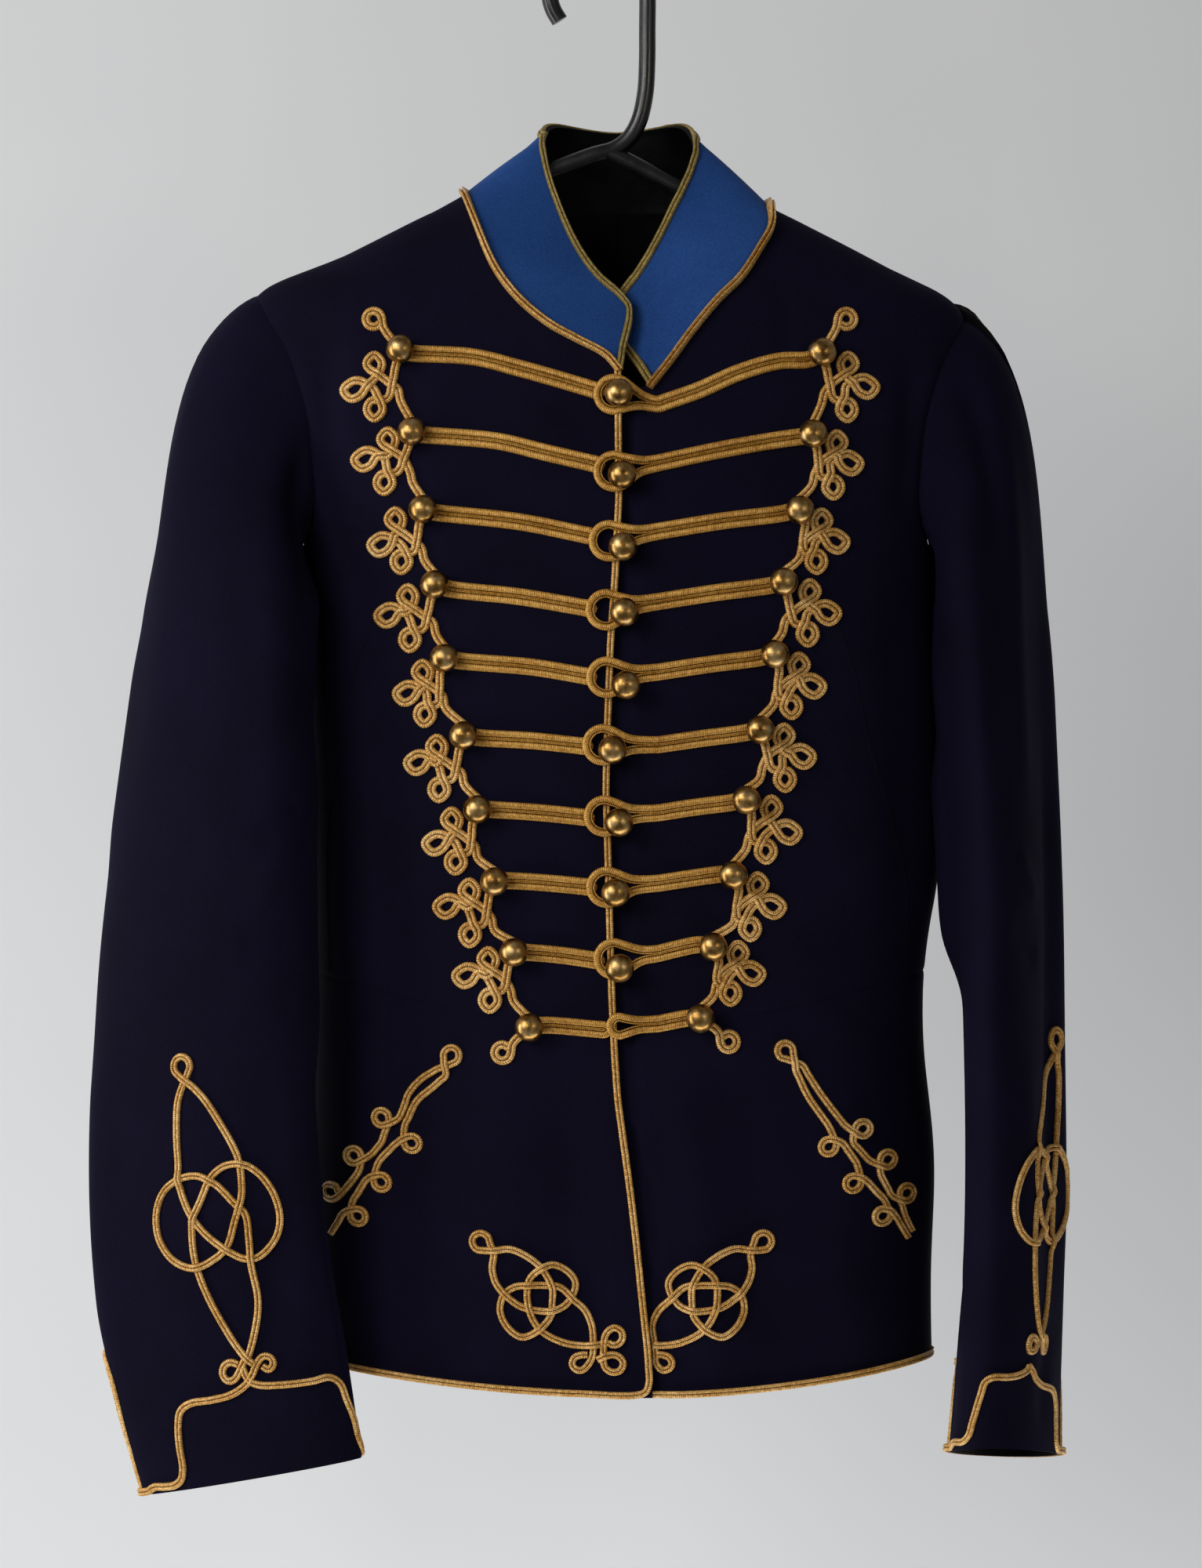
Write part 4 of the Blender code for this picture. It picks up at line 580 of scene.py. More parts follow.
def woollen(name, dark, light, sheen, sheen_colour):
    """Milled wool: a close nap that scatters light softly and hides a fine twill."""
    made = new_material(name)
    nap = noise(made, on_object(made), 900.0, 4.0, 0.7)
    wear = noise(made, on_object(made), 14.0, 5.0, 0.6)
    # The real twill repeats every 0.4 mm; 1.1 mm is the finest that the picture holds.
    turned = add(made, "ShaderNodeMapping", "Vector",
                 {"Vector": on_flat(made), "Rotation": (0.0, 0.0, math.radians(TWILL_TURN))})
    twill = add(made, "ShaderNodeTexWave", "Fac",
                {"Vector": turned, "Scale": 285.0, "Distortion": 1.2, "Detail": 1.0, "Detail Scale": 2.0})
    level = maths(made, "MULTIPLY_ADD", wear, 0.45, maths(made, "MULTIPLY", nap, 0.55))
    finish(made, {"Base Color": ramp(made, level, (0.35, dark), (0.68, light)),
                  "Normal": bump(made, maths(made, "MULTIPLY_ADD", twill, 0.35, nap), 0.35, 0.0003),
                  "Roughness": 0.88, "Specular IOR Level": 0.06,
                  "Sheen Weight": sheen, "Sheen Roughness": 0.45, "Sheen Tint": tone(sheen_colour)})
    return made


wool = woollen("blue_black_wool", "#080613", "#100d22", 0.06, "#4a3f78")
collar_wool = woollen("royal_blue_wool", "#19366b", "#284d8a", 0.12, "#7f96c8")

# Black cotton satin, seen at the neck and in the cuffs; its long floats give a soft shine.
lining = new_material("black_satin")
ripple = noise(lining, on_flat(lining), 30.0, 3.0)
floats = add(lining, "ShaderNodeTexWave", "Fac", {"Vector": on_flat(lining), "Scale": 260.0, "Distortion": 2.0},
             bands_direction="Y")
finish(lining, {"Roughness": 0.55, "Specular IOR Level": 0.08,
                "Base Color": ramp(lining, ripple, (0.3, "#020203"), (0.7, "#060608")),
                "Normal": bump(lining, maths(lining, "MULTIPLY_ADD", floats, 0.015, ripple), 0.6, 0.004)})


def sewn(node, points, seams, flat, area=None, normals=None, slot="blue_black_wool", outside=wool, **more):
    """One cut piece, hung from the hanger with the rest; flat is the width and length of its cut, and is not used.
    """
    name = f"cloth_{node}"
    normals = normals_of(points) if normals is None else normals
    made = wall_of_cloth(name, points, normals, node, slot, (outside, lining), seams, **more)


waist_row = len(ROWS) - 1
above, below = slice(waist_row + 1), slice(waist_row, None)
first_free_row = int((ROWS <= NECK).sum()) - 1
sewn("front_right", left_front[above], ("top", "bottom", "last"), (0.224, 0.522), 0.084)
sewn("skirt_front_right", left_front[below], ("top", "last"), (0.238, 0.213))
sewn("back_left", left_back[above], ("top", "bottom", "first", "last"), (0.234, 0.553), 0.087)
sewn("back_right", right_back[above], ("top", "bottom", "first", "last"), (0.234, 0.553), 0.089)
sewn("front_left", sunk_front[above], ("top", "bottom", "last"), (0.244, 0.507), 0.098,
     skip_rows=first_free_row, skip_columns=LAP_COLUMNS)
sewn("skirt_front_left", sunk_front[below], ("top", "last"), (0.231, 0.213))
skirt_back = np.concatenate((left_back[below, ::-1], right_back[below, 1:]), axis=1)
sewn("skirt_back", skirt_back, ("top", "first", "last"), (0.418, 0.213))


# Sleeves
# Two-piece wool sleeves, a wide top sleeve and a narrow under sleeve, sewn into the armholes and
# hanging by their own weight. Each row of a table is one ring: its height, its centre's place to
# the side and to the back, its two half axes, how far it is turned back, and its two slopes.
SLEEVE_LEFT = (
    (-366, -212, -34, 60, 38.5, 48, 0.00, 0.00), (-430, -218, -37, 64, 37, 45, 0.00, 0.00),
    (-500, -223.5, -41, 67, 35, 40, 0.00, 0.00), (-570, -226.5, -47, 68.5, 34, 34, 0.00, 0.00),
    (-650, -226, -55, 69, 30, 27, 0.03, 0.00), (-720, -221, -63, 68, 26, 20, 0.08, 0.00),
    (-777, -212, -70, 67, 23, 16, 0.14, 0.00), (-840, -198, -77, 61.5, 20, 14, 0.19, 0.00))
SLEEVE_RIGHT = (
    (-366, 206, -8, 62, 27, 76, 0.00, 0.00), (-431, 210.5, -9, 64, 25.5, 77, 0.00, 0.00),
    (-520, 215.5, -12, 66, 24.5, 78, 0.00, 0.00), (-606, 217.5, -17, 66, 23.5, 78, 0.00, 0.00),
    (-670, 218, -22, 65, 23.5, 78, 0.00, -0.02), (-721, 217.5, -27, 63, 24, 77, 0.00, -0.05),
    (-780, 216, -33, 60, 26, 74, 0.00, -0.09), (-831, 213.5, -38, 58, 27.5, 72, 0.00, -0.13))
SLEEVE_CUTS = {("left", "top"): ((0.223, 0.682), 0.122), ("left", "under"): ((0.141, 0.619), 0.065),
               ("right", "top"): ((0.22, 0.651), 0.108), ("right", "under"): ((0.149, 0.6), 0.06)}
AROUND, FINE = 14, 7
CAP_STEPS = 26
CAP_SHARES = np.linspace(0.0, 1.0, CAP_STEPS + 1) ** 1.15
CAP_TUCK = 1.5
FACE_LEFT, FACE_RIGHT = 2.6, 0.8
SLEEVE_FOLDS_LEFT = (
    (((34, -236), (48, -290), (56, -340), (60, -400), (62, -450)), 9, -3.2),
    (((84, -420), (85, -480), (85, -560), (84, -640)), 14, 4.6),
    (((18, -240), (30, -300), (38, -370), (46, -460), (52, -560)), 11, 2),
    (((-20, -226), (-26, -290), (-34, -380), (-40, -500)), 20, 1.5),
    (((64, -470), (50, -482), (36, -500)), 7, -2.2),
    (((66, -494), (52, -508), (36, -528)), 7, 1.6),
    (((62, -536), (46, -546), (28, -552)), 8, -1.8),
    (((10, -580), (4, -660), (-4, -740), (-8, -830)), 20, 1.4),
    (((46, -600), (50, -690), (44, -790)), 13, -1.8),
    (((-58, -590), (-64, -660), (-62, -730), (-58, -790)), 16, 2.8),
    (((-58, -240), (-64, -300), (-72, -370)), 14, -2.6),
    (((-74, -370), (-80, -440), (-84, -520)), 14, 1.4),
    (((150, -330), (140, -450), (146, -600)), 15, -2.4),
)
SLEEVE_FOLDS_RIGHT = (
    (((-26, -238), (-38, -300), (-46, -380), (-52, -480)), 10, -3),
    (((-10, -236), (-20, -300), (-28, -390), (-30, -500)), 10, 2),
    (((22, -284), (24, -370), (22, -450), (19, -540), (18, -640), (18, -730), (20, -815)), 14, 6.3),
    (((8, -420), (2, -520), (-4, -620), (-8, -700)), 9, -2.2),
    (((-44, -500), (-34, -512), (-22, -530)), 7, 1.8),
    (((-50, -540), (-38, -552), (-22, -560)), 7, -2),
    (((-34, -590), (-36, -680), (-30, -800)), 11, 2),
    (((42, -560), (48, -660), (46, -790)), 12, -2.2),
    (((-64, -340), (-72, -450), (-70, -600)), 13, -2.4),
    (((-110, -350), (-110, -430), (-112, -510), (-112, -590)), 15, 6),
    (((-110, -430), (-111, -500), (-112, -582)), 14, 5.5),
    (((130, -330), (126, -450), (136, -620)), 15, -2.4),
    (((-6, -760), (-16, -790), (-14, -825)), 8, -1.8),
)


def at_places(column, places):
    """Places down one column of a body patch, by row number."""
    return np.stack([np.interp(places, ROWS, column[:len(ROWS), axis]) for axis in range(3)], axis=1)


def ring(row, side, steps):
    z, x, y, long_half, short_half, turned, tip, lean = row
    turn = math.radians(turned)
    angle = 2.0 * math.pi * steps / AROUND + turn
    across = long_half * np.cos(angle) * math.cos(turn) + short_half * np.sin(angle) * math.sin(turn)
    forward = -long_half * np.cos(angle) * math.sin(turn) + short_half * np.sin(angle) * math.cos(turn)
    rise = -tip * across - lean * forward
    return np.stack((x + CENTRE_X + side * across, y - forward, z + rise), axis=1) * MM


def sleeve_grid(table, side, front, back):
    """A sleeve from its armhole down: a smooth cap and then its rings."""
    steps = np.arange(0, AROUND * FINE) / FINE

    def round_armhole(in_front, behind):
        return np.where((steps <= ARMHOLE)[:, None], at_places(in_front[:, -1], steps),
                        at_places(behind[:, -1], AROUND - steps))

    loop, leaving = round_armhole(front, back), round_armhole(normals_of(front), normals_of(back))
    weights = np.exp(-(np.arange(-8, 9) / 5.0) ** 2)
    leaving = unit(sum(w * np.roll(leaving, k, axis=0) for k, w in zip(range(-8, 9), weights)))
    tangent = unit(np.roll(loop, -4, axis=0) - np.roll(loop, 4, axis=0))
    share = (1.0 - np.abs(1.0 - 2.0 * steps / AROUND))[:, None]
    outside = unit(np.cross(tangent, leaving))
    outside *= -np.sign(((loop - loop.mean(axis=0)) * outside).sum(axis=1, keepdims=True))
    down = np.concatenate((np.zeros_like(share), np.zeros_like(share), -0.2 - 0.5 * share), axis=1)
    leave = unit((1.0 - share) * outside + (0.15 + 0.85 * share) * leaving + down)
    slope = unit(np.array((side * 0.93, 0.0, -0.37)))
    leave = np.where(share < 0.5, unit((1.0 - 2.0 * share) * slope + 2.0 * share * leave), leave)
    first, second = ring(table[0], side, steps), ring(table[1], side, steps)
    reach = np.linalg.norm(first - loop, axis=1, keepdims=True) * 0.9
    end = unit(second - first) * reach
    rows = []
    for t in CAP_SHARES:
        rows.append((2 * t ** 3 - 3 * t ** 2 + 1) * loop + (t ** 3 - 2 * t ** 2 + t) * leave * reach
                    + (3 * t ** 2 - 2 * t ** 3) * first + (t ** 3 - t ** 2) * end)
    rows += [ring(row, side, steps) for row in smooth_line(table, 5.0)[1:]]
    grid = np.array(rows)
    return np.concatenate((grid, grid[:, :1]), axis=1)


def opened(grid, face, side):
    """A closed sleeve opened along the line behind its face, with its flat drawing in millimetres."""
    start = (int(face) + 7) * FINE
    index = (np.arange(AROUND * FINE + 1) + start) % (AROUND * FINE)
    points = grid[:, index]
    around = spans(points)[0]
    middle = (face + AROUND) * FINE - start
    centre = np.array([np.interp(middle, range(around.shape[1]), row) for row in around])[:, None]
    level = np.broadcast_to(points[:, :-1, 2].mean(axis=1)[:, None], around.shape)
    return points, np.stack(((around - centre) * -side, level), axis=2) / MM, index


def sleeve(word, table, side, front, back, face, folds):
    """Both pieces of a sleeve; its places, flat drawing and normals, for the cord."""
    grid = sleeve_grid(table, side, front, back)
    leaving = np.append(CAP_SHARES, np.ones(len(grid) - CAP_STEPS - 1))
    grid = settled(grid, smoothstep(leaving)[:, None])
    points, flat, index = opened(grid, face, side)
    normals = normals_of(grid, closed=True)[:, index]
    below = lengths_along(grid[:, 0])[:, None] / MM
    room = smoothstep((below - 4.0) / 30.0) * smoothstep((below[-1] + 8.0 - below) / 30.0)
    moved = folded(points, normals, flat, folds, np.broadcast_to(room, points.shape[:2]))
    grid[:, index] = moved
    grid[:, -1] = grid[:, 0]
    normals = normals_of(grid, closed=True)
    for part, start, end in (("under", 6, 11), ("top", 11, 20)):
        columns = np.arange(start * FINE, end * FINE + 1) % (AROUND * FINE)
        sewn(f"sleeve_{word}_{part}", grid[:, columns], ("top", "first", "last"), *SLEEVE_CUTS[word, part],
             normals=normals[:, columns], tuck=CAP_TUCK)
    points, flat, index = opened(grid, face, side)
    return points, flat, normals[:, index]


sleeve_left = sleeve("left", SLEEVE_LEFT, -1.0, left_front, left_back, FACE_LEFT, SLEEVE_FOLDS_LEFT)
sleeve_right = sleeve("right", SLEEVE_RIGHT, 1.0, right_front, right_back, FACE_RIGHT, SLEEVE_FOLDS_RIGHT)


# Collar
# A stand collar of royal blue wool, lined with the black satin, sewn round the neck and open at
# the front, where its image-left end lies over the other.
COLLAR_TOP_LEFT = ((9, -46.5, -198), (-3, -44, -189.5), (-13.5, -39.5, -178.5), (-23, -32, -166.5),
    (-30.5, -25, -153), (-36, -17, -138), (-40, -8, -121), (-39.5, 3, -108))
COLLAR_TOP_RIGHT = ((-7, -31.5, -203), (3, -33, -190.5), (12, -34, -180), (19.5, -33, -169), (27, -28.5, -157),
    (34.5, -22.5, -144), (40.5, -15, -131), (44.5, -6, -119), (43.5, 4, -108))
COLLAR_TOP_BACK = ((41.5, 3.5, -108), (37.5, 15, -104), (33, 21, -103.5), (27.5, 26, -104), (21, 29.5, -105),
    (14, 32, -106), (7, 33.2, -107), (0, 33.5, -107.5))
COLLAR_EASINGS, COLLAR_ROWS, COLLAR_BULGE = 30, 22, 0.7
up_rows = np.arange(0.0, NECK + 0.01, 1.0 / 7.0)


def round_neck(column):
    """Places round the neck from one front end to the other, down the given column of each quarter."""
    runs = ((left_front, up_rows[::-1]), (left_back, up_rows[1:]),
            (right_back, up_rows[-2:0:-1]), (right_front, up_rows))
    return np.concatenate([at_places(points[:, column], places) for points, places in runs])


top_left, top_right, top_back = (at_shares(smooth_line(line, 0.7), up_rows / NECK)
                                 for line in (COLLAR_TOP_LEFT, COLLAR_TOP_RIGHT, COLLAR_TOP_BACK))
collar_top = np.concatenate((top_left, top_back[1:] * (-1.0, 1.0, 1.0), top_back[-2:0:-1], top_right[::-1]))
for turn in range(COLLAR_EASINGS):
    collar_top[1:-1] = (collar_top[:-2] + 2.0 * collar_top[1:-1] + collar_top[2:]) / 4.0
collar_top = settled((collar_top + np.array((CENTRE_X, 0.0, 0.0))) * MM)
collar_foot = round_neck(0)
collar_foot = collar_foot - unit(collar_top - collar_foot) * 0.3 * MM
rises = np.linspace(0.0, 1.0, COLLAR_ROWS)[:, None, None]
collar_points = collar_foot + (collar_top - collar_foot) * rises
collar_points = collar_points + normals_of(collar_points) * np.sin(np.pi * rises) * COLLAR_BULGE * MM
sewn("collar", collar_points, ("top",), (0.534, 0.067), 0.024, slot="royal_blue_wool", outside=collar_wool, rim=1)


# Cord
# Gilt thread wound over a soft core and laid in two ribs. It is sewn down along its middle, and
# where it crosses itself it goes over and under by turns.
CORD_PROFILE = np.array(((-1, 0), (-1, 0.42), (-0.82, 0.82), (-0.5, 1), (-0.2, 0.86), (0, 0.5), (0.2, 0.86),
    (0.5, 1), (0.82, 0.82), (1, 0.42), (1, 0)))
BAR_PROFILE = np.array(((-1, 0), (-1, 0.4), (-0.84, 0.8), (-0.45, 1), (0.1, 0.96), (0.38, 0.8), (0.52, 0.42),
    (0.66, 0.74), (0.82, 0.86), (0.97, 0.62), (1, 0)))
STATION = 1.15
OVER_LIFT, OVER_REACH = 1.75, 3.4


class Ground:
    """Cloth that cord lies on: its flat drawing, and the place and normal under each flat spot."""

    def __init__(self, points, flat, normals):
        a, b, c, d = quads(*points.shape[:2]).reshape(-1, 4).T
        self.faces = np.concatenate((np.stack((a, b, c), axis=1), np.stack((a, c, d), axis=1)))
        self.flat = flat.reshape(-1, 2)
        self.points, self.normals = points.reshape(-1, 3), normals.reshape(-1, 3)
        drawing = np.concatenate((self.flat, np.zeros((len(self.flat), 1))), axis=1)
        self.tree = BVHTree.FromPolygons(drawing.tolist(), self.faces.tolist(), all_triangles=True)

    def under(self, spots):
        """Places and normals of the cloth under flat spots."""
        found = np.array([self.tree.find_nearest((x, z, 0.0))[2] for x, z in spots])
        corners = self.faces[found]
        a, b, c = (self.flat[corners[:, i]] for i in range(3))
        along, across, away = b - a, c - a, spots - a
        area = along[:, 0] * across[:, 1] - across[:, 0] * along[:, 1]
        second = (away[:, 0] * across[:, 1] - across[:, 0] * away[:, 1]) / area
        third = (along[:, 0] * away[:, 1] - away[:, 0] * along[:, 1]) / area
        shares = np.stack((1.0 - second - third, second, third), axis=1)[:, :, None]
        return (shares * self.points[corners]).sum(axis=1), unit((shares * self.normals[corners]).sum(axis=1))


def crossings(line):
    """Where a line crosses itself: pairs of places along it, in stations."""
    a, run = line[:-1], np.diff(line, axis=0)
    i, j = np.triu_indices(len(a), 5)
    gap = a[j] - a[i]
    cross = run[i, 0] * run[j, 1] - run[i, 1] * run[j, 0]
    cross = np.where(np.abs(cross) < 1e-9, 1e-9, cross)
    on_first = (gap[:, 0] * run[j, 1] - gap[:, 1] * run[j, 0]) / cross
    on_second = (gap[:, 0] * run[i, 1] - gap[:, 1] * run[i, 0]) / cross
    hit = (on_first >= 0.0) & (on_first < 1.0) & (on_second >= 0.0) & (on_second < 1.0)
    return list(zip((i + on_first)[hit], (j + on_second)[hit]))


def woven_lift(line, later_over):
    """How far each station is lifted to pass over another part of the same cord."""
    pairs = crossings(line)
    order = {place: number for number, place in enumerate(sorted(place for pair in pairs for place in pair))}
    lift = np.zeros(len(line))
    stations = np.arange(len(line))
    for first, second in pairs:
        over = second if later_over or (order[second] % 2 == 0 and order[first] % 2 == 1) else first
        lift = np.maximum(lift, OVER_LIFT * np.exp(-((stations - over) * STATION / OVER_REACH) ** 2))
    return lift


def lay_cord(piece, line, ground, half_width=2.25, height=1.9, profile=CORD_PROFILE, outer=1.0, lift=None, base=0.12,
             later_over=False):
    """Sweep a flat line of cord over the cloth. lift is in millimetres, from a function of the line."""
    line = smooth_line(line, STATION)
    tangent = unit(np.gradient(line, axis=0))
    across = np.stack((-tangent[:, 1], tangent[:, 0]), axis=1) * outer
    raised = base + woven_lift(line, later_over) + (lift(line) if lift else 0.0)
    middle, middle_normal = ground.under(line)
    left, right = (ground.under(line + across * half_width * sign)[0] for sign in (-1.0, 1.0))
    # One frame for the whole width keeps the cord even where the cloth bends sharply.
    side = unit(right - left)
    normal = unit(np.cross(side, np.gradient(middle, axis=0)))
    normal *= np.sign((normal * middle_normal).sum(axis=1, keepdims=True))
    width = half_width * MM * np.clip(np.linalg.norm(right - left, axis=1, keepdims=True) / (2.0 * half_width * MM),
                                      0.8, 1.12)
    swell = 1.0 + 0.035 * np.sin(np.arange(len(line)) * 0.9) * np.sin(np.arange(len(line)) * 0.23 + line[0, 0])
    along = lengths_along(middle)
    grid = np.stack([middle + side * width * v + normal * (raised + h * height * swell)[:, None] * MM
                     for v, h in profile], axis=1)
    flat = np.stack([np.stack((along, np.full(len(along), (v + 1.0) / 2.0)), axis=1) for v, h in profile], axis=1)
    start = piece.add_grid(grid, flat)
    count = len(profile)
    ring_starts = range(start, start + (len(line) - 1) * count, count)
    floor = [[s, s + count - 1, s + 2 * count - 1, s + count] for s in ring_starts]
    piece.add_faces(floor, [[(0.0, 0.0)] * 4] * len(floor))
    last = start + (len(line) - 1) * count
    ends = [list(range(start, start + count)), list(range(last + count - 1, last - 1, -1))]
    piece.add_faces(ends, [[(0.0, 0.25)] * count] * 2)


CURL = ((0.55, -0.95), (1.0, -0.2), (0.75, 0.7), (0.0, 1.05), (-0.75, 0.7), (-1.0, -0.2), (-0.55, -0.95))


def curl(centre, away, first, radius):
    """A teardrop of cord round a centre: up on its first side, over its far side and back."""
    return [tuple(np.array(centre) + radius * (a * first + b * away)) for a, b in CURL]


def with_curls(strand, centres, radius):
    """A strand that makes a small curl round each centre beside it."""
    line = smooth_line(strand, 1.5)
    keep = [list(place) for place in line]
    marks = sorted((int(np.linalg.norm(line - np.array(c), axis=1).argmin()), tuple(c)) for c in centres)
    result, done = [], 0
    for nearest, centre in marks:
        nearest = min(max(nearest, 4), len(line) - 2)
        result += keep[done:nearest - 2:3]
        along = unit(line[min(nearest + 2, len(line) - 1)] - line[nearest - 2])
        away = np.array((-along[1], along[0]))
        away *= np.sign((np.array(centre) - line[nearest]) @ away)
        result += curl(centre, away, along, radius)
        done = nearest + 3
    return [tuple(place) for place in result + keep[done::3]]


def closed_knot(first_strand, centre, second_strand, radius):
    """One cord: back up the first strand, round the top curl and down the second strand."""
    ends = (np.array(first_strand[0]), np.array(second_strand[0]))
    away = unit(np.array(centre) - (ends[0] + ends[1]) / 2.0)
    first = np.array((away[1], -away[0]))
    first *= 1.0 if (ends[1] - ends[0]) @ first >= 0 else -1.0
    return list(reversed(first_strand)) + curl(centre, away, first, radius) + list(second_strand)


def gilt(name, dark, middle, light, groove_at, shine):
    """Gilt thread: bright warm windings, darker between them and dirtied in patches, with painted shade in the
    groove.
    """
    made = new_material(name)
    split = add(made, "ShaderNodeSeparateXYZ", "X", {"Vector": on_flat(made)}).node.outputs
    aside = maths(made, "ABSOLUTE", maths(made, "SUBTRACT", split["Y"], groove_at))
    # The real windings lie 0.3 mm apart; 1.0 mm is the finest that the picture holds.
    turns = maths(made, "MULTIPLY", split["X"], 2.0 * math.pi / 0.001)
    wound = maths(made, "SINE", maths(made, "MULTIPLY_ADD", aside, 6.0, turns))
    thread = noise(made, on_object(made), 700.0, 3.0, 0.7)
    age = noise(made, on_object(made), 38.0, 4.0, 0.65)
    level = maths(made, "MULTIPLY_ADD", age, 0.5, maths(made, "MULTIPLY_ADD", wound, 0.13, thread))
    # Painted shade: the colour is darkened towards the groove between the two ribs.
    painted_groove_shade = between(made, aside, 0.02, 0.075, 0.3, 1.0)
    colour = ramp(made, level, (0.45, dark), (0.74, middle), (1.0, light))
    painted_shade_colour = add(made, "ShaderNodeVectorMath", "Vector", {"Vector": colour, "Scale": painted_groove_shade}, operation="SCALE")
    finish(made, {"Base Color": painted_shade_colour, "Roughness": 0.46, "Metallic": shine, "Specular IOR Level": 0.45,
                  "Normal": bump(made, maths(made, "MULTIPLY_ADD", wound, 0.6, thread), 0.55, 0.00022)})
    return made


gilt_cord = gilt("gilt_cord", "#7c4f15", "#c38d38", "#efcf95", 0.5, 0.3)
gilt_bar = gilt("gilt_bar", "#744a12", "#b5802b", "#d3a95a", 0.76, 0.3)
dull_gilt = gilt("dull_gilt_edging", "#4c3b18", "#8b7434", "#ad9a5c", 0.5, 0.25)

front_left_ground, front_right_ground, sunk_ground = (
    Ground(points, front_flat(points), normals_of(points)) for points in (left_front, wide_front, sunk_front))


def cord_piece(name, node, cords, material=gilt_cord):
    """One piece of cord from (line, ground, options) rows."""
    piece = Piece()
    for line, ground, options in cords:
        lay_cord(piece, line, ground, **options)
    piece.make(name, (material,), node, sharp=60.0)


# Edge braid
# The same cord sewn along the free edge of the upper front and round the hem, laid just inside
# the cloth's edge. The collar has a duller one along its top and down its front ends.
EDGE = {"half_width": 1.95, "height": 1.7}
HEM_INSET = 1.75
down_edge = [(front_edge_x(z) - 1.8, z) for z in np.linspace(-233.0, HEM_CENTRE_Z + 8.0, 60)]
hem_left, hem_right = (front_flat(points)[-1] + np.array((0.0, HEM_INSET)) for points in (left_front, sunk_front))
corner = (down_edge[-1][0] - 2.6, hem_left[0, 1] + 1.2)
along_hem = [tuple(spot) for spot in hem_left[::3] if spot[0] < corner[0] - 7.0]
cord_piece("edging_front", "front_edge_braid", [(down_edge + [corner] + along_hem, front_left_ground, EDGE)])
hem_start = front_edge_x(HEM_CENTRE_Z) - 0.5
along_hem = [(hem_start, hem_right[0, 1])] + [tuple(spot) for spot in hem_right[::3] if spot[0] > hem_start + 4.0]
cord_piece("edging_hem_right", "hem_braid_right", [(along_hem, sunk_ground, EDGE)])

# The skirt's back, drawn flat along its lowest row.
back_flat = np.stack((np.broadcast_to(lengths_along(skirt_back[-1]), skirt_back.shape[:2]),
                      skirt_back[..., 2]), axis=2) / MM
back_hem = [(spot[0], spot[1] + HEM_INSET) for spot in back_flat[-1, ::3]]
cord_piece("edging_hem_back", "hem_braid_back",
           [(back_hem, Ground(skirt_back, back_flat, normals_of(skirt_back)), EDGE)])

collar_heights = np.linalg.norm(collar_points - collar_points[:1], axis=2)
collar_flat = np.stack((np.broadcast_to(lengths_along(collar_points.mean(axis=0)), collar_heights.shape),
                        collar_heights), axis=2) / MM
COLLAR_INSET = 2.1
collar_end = collar_flat[0, -1, 0] - COLLAR_INSET
over_top = [(COLLAR_INSET, 1.0), (COLLAR_INSET, 12.0), (COLLAR_INSET, collar_flat[-1, 0, 1] - 6.0)]
over_top += [(spot[0], spot[1] - COLLAR_INSET) for spot in collar_flat[-1, 3:-3:3]]
over_top += [(collar_end, collar_flat[-1, -1, 1] - 6.0), (collar_end, 12.0), (collar_end, 1.0)]
collar_ground = Ground(collar_points, collar_flat, normals_of(collar_points))
cord_piece("edging_collar_top", "collar_edge_braid", [(over_top, collar_ground, {"half_width": 2.5, "height": 2.1})],
           dull_gilt)
seam_strip = np.stack((round_neck(3), collar_foot, collar_foot + unit(collar_top - collar_foot) * 3.0 * MM))
seam_heights = np.broadcast_to(np.array((-3.0, 0.0, 3.0))[:, None], seam_strip.shape[:2])
seam_flat = np.stack((np.broadcast_to(lengths_along(collar_foot) / MM, seam_heights.shape), seam_heights), axis=2)
seam_line = [(x, 0.1) for x in np.linspace(1.2, seam_flat[0, -1, 0] + 0.5, 90)]
# The cord sinks into the seam between collar and neck.
cord_piece("edging_collar_seam", "collar_seam_braid",
           [(seam_line, Ground(seam_strip, seam_flat, normals_of(seam_strip)),
             {"half_width": 1.95, "height": 4.1, "base": -1.6})])


# Frogging
# Ten rows. Each bar is one cord doubled back on itself: on the image-right the turn makes the
# loop round the centre button. A second cord runs from side button to side button and ties the
# trefoil between them, and a curl ends it above the first row and below the last.
SIDE_BUTTONS_LEFT = ((-117.1, -226.6), (-110.2, -271.8), (-103.8, -313.9), (-97.3, -354.8), (-92.1, -394.7),
    (-81.8, -436.4), (-74.5, -476.4), (-65.5, -515.6), (-55.2, -554.3), (-47, -595.5))
SIDE_BUTTONS_RIGHT = ((111.2, -228.3), (105.7, -273.1), (98.8, -313), (89.3, -353.5), (84.6, -392.6),
    (76.8, -433.4), (69.5, -471.3), (62.7, -512.1), (51.9, -551.3), (45, -590.4))
CENTRE_BUTTONS = ((1.2, -252), (2.9, -296.3), (3.3, -335), (4.2, -370.2), (5, -409.4), (-2.3, -444.2),
    (1.2, -483.3), (-0.6, -521.6), (1.6, -562.9))
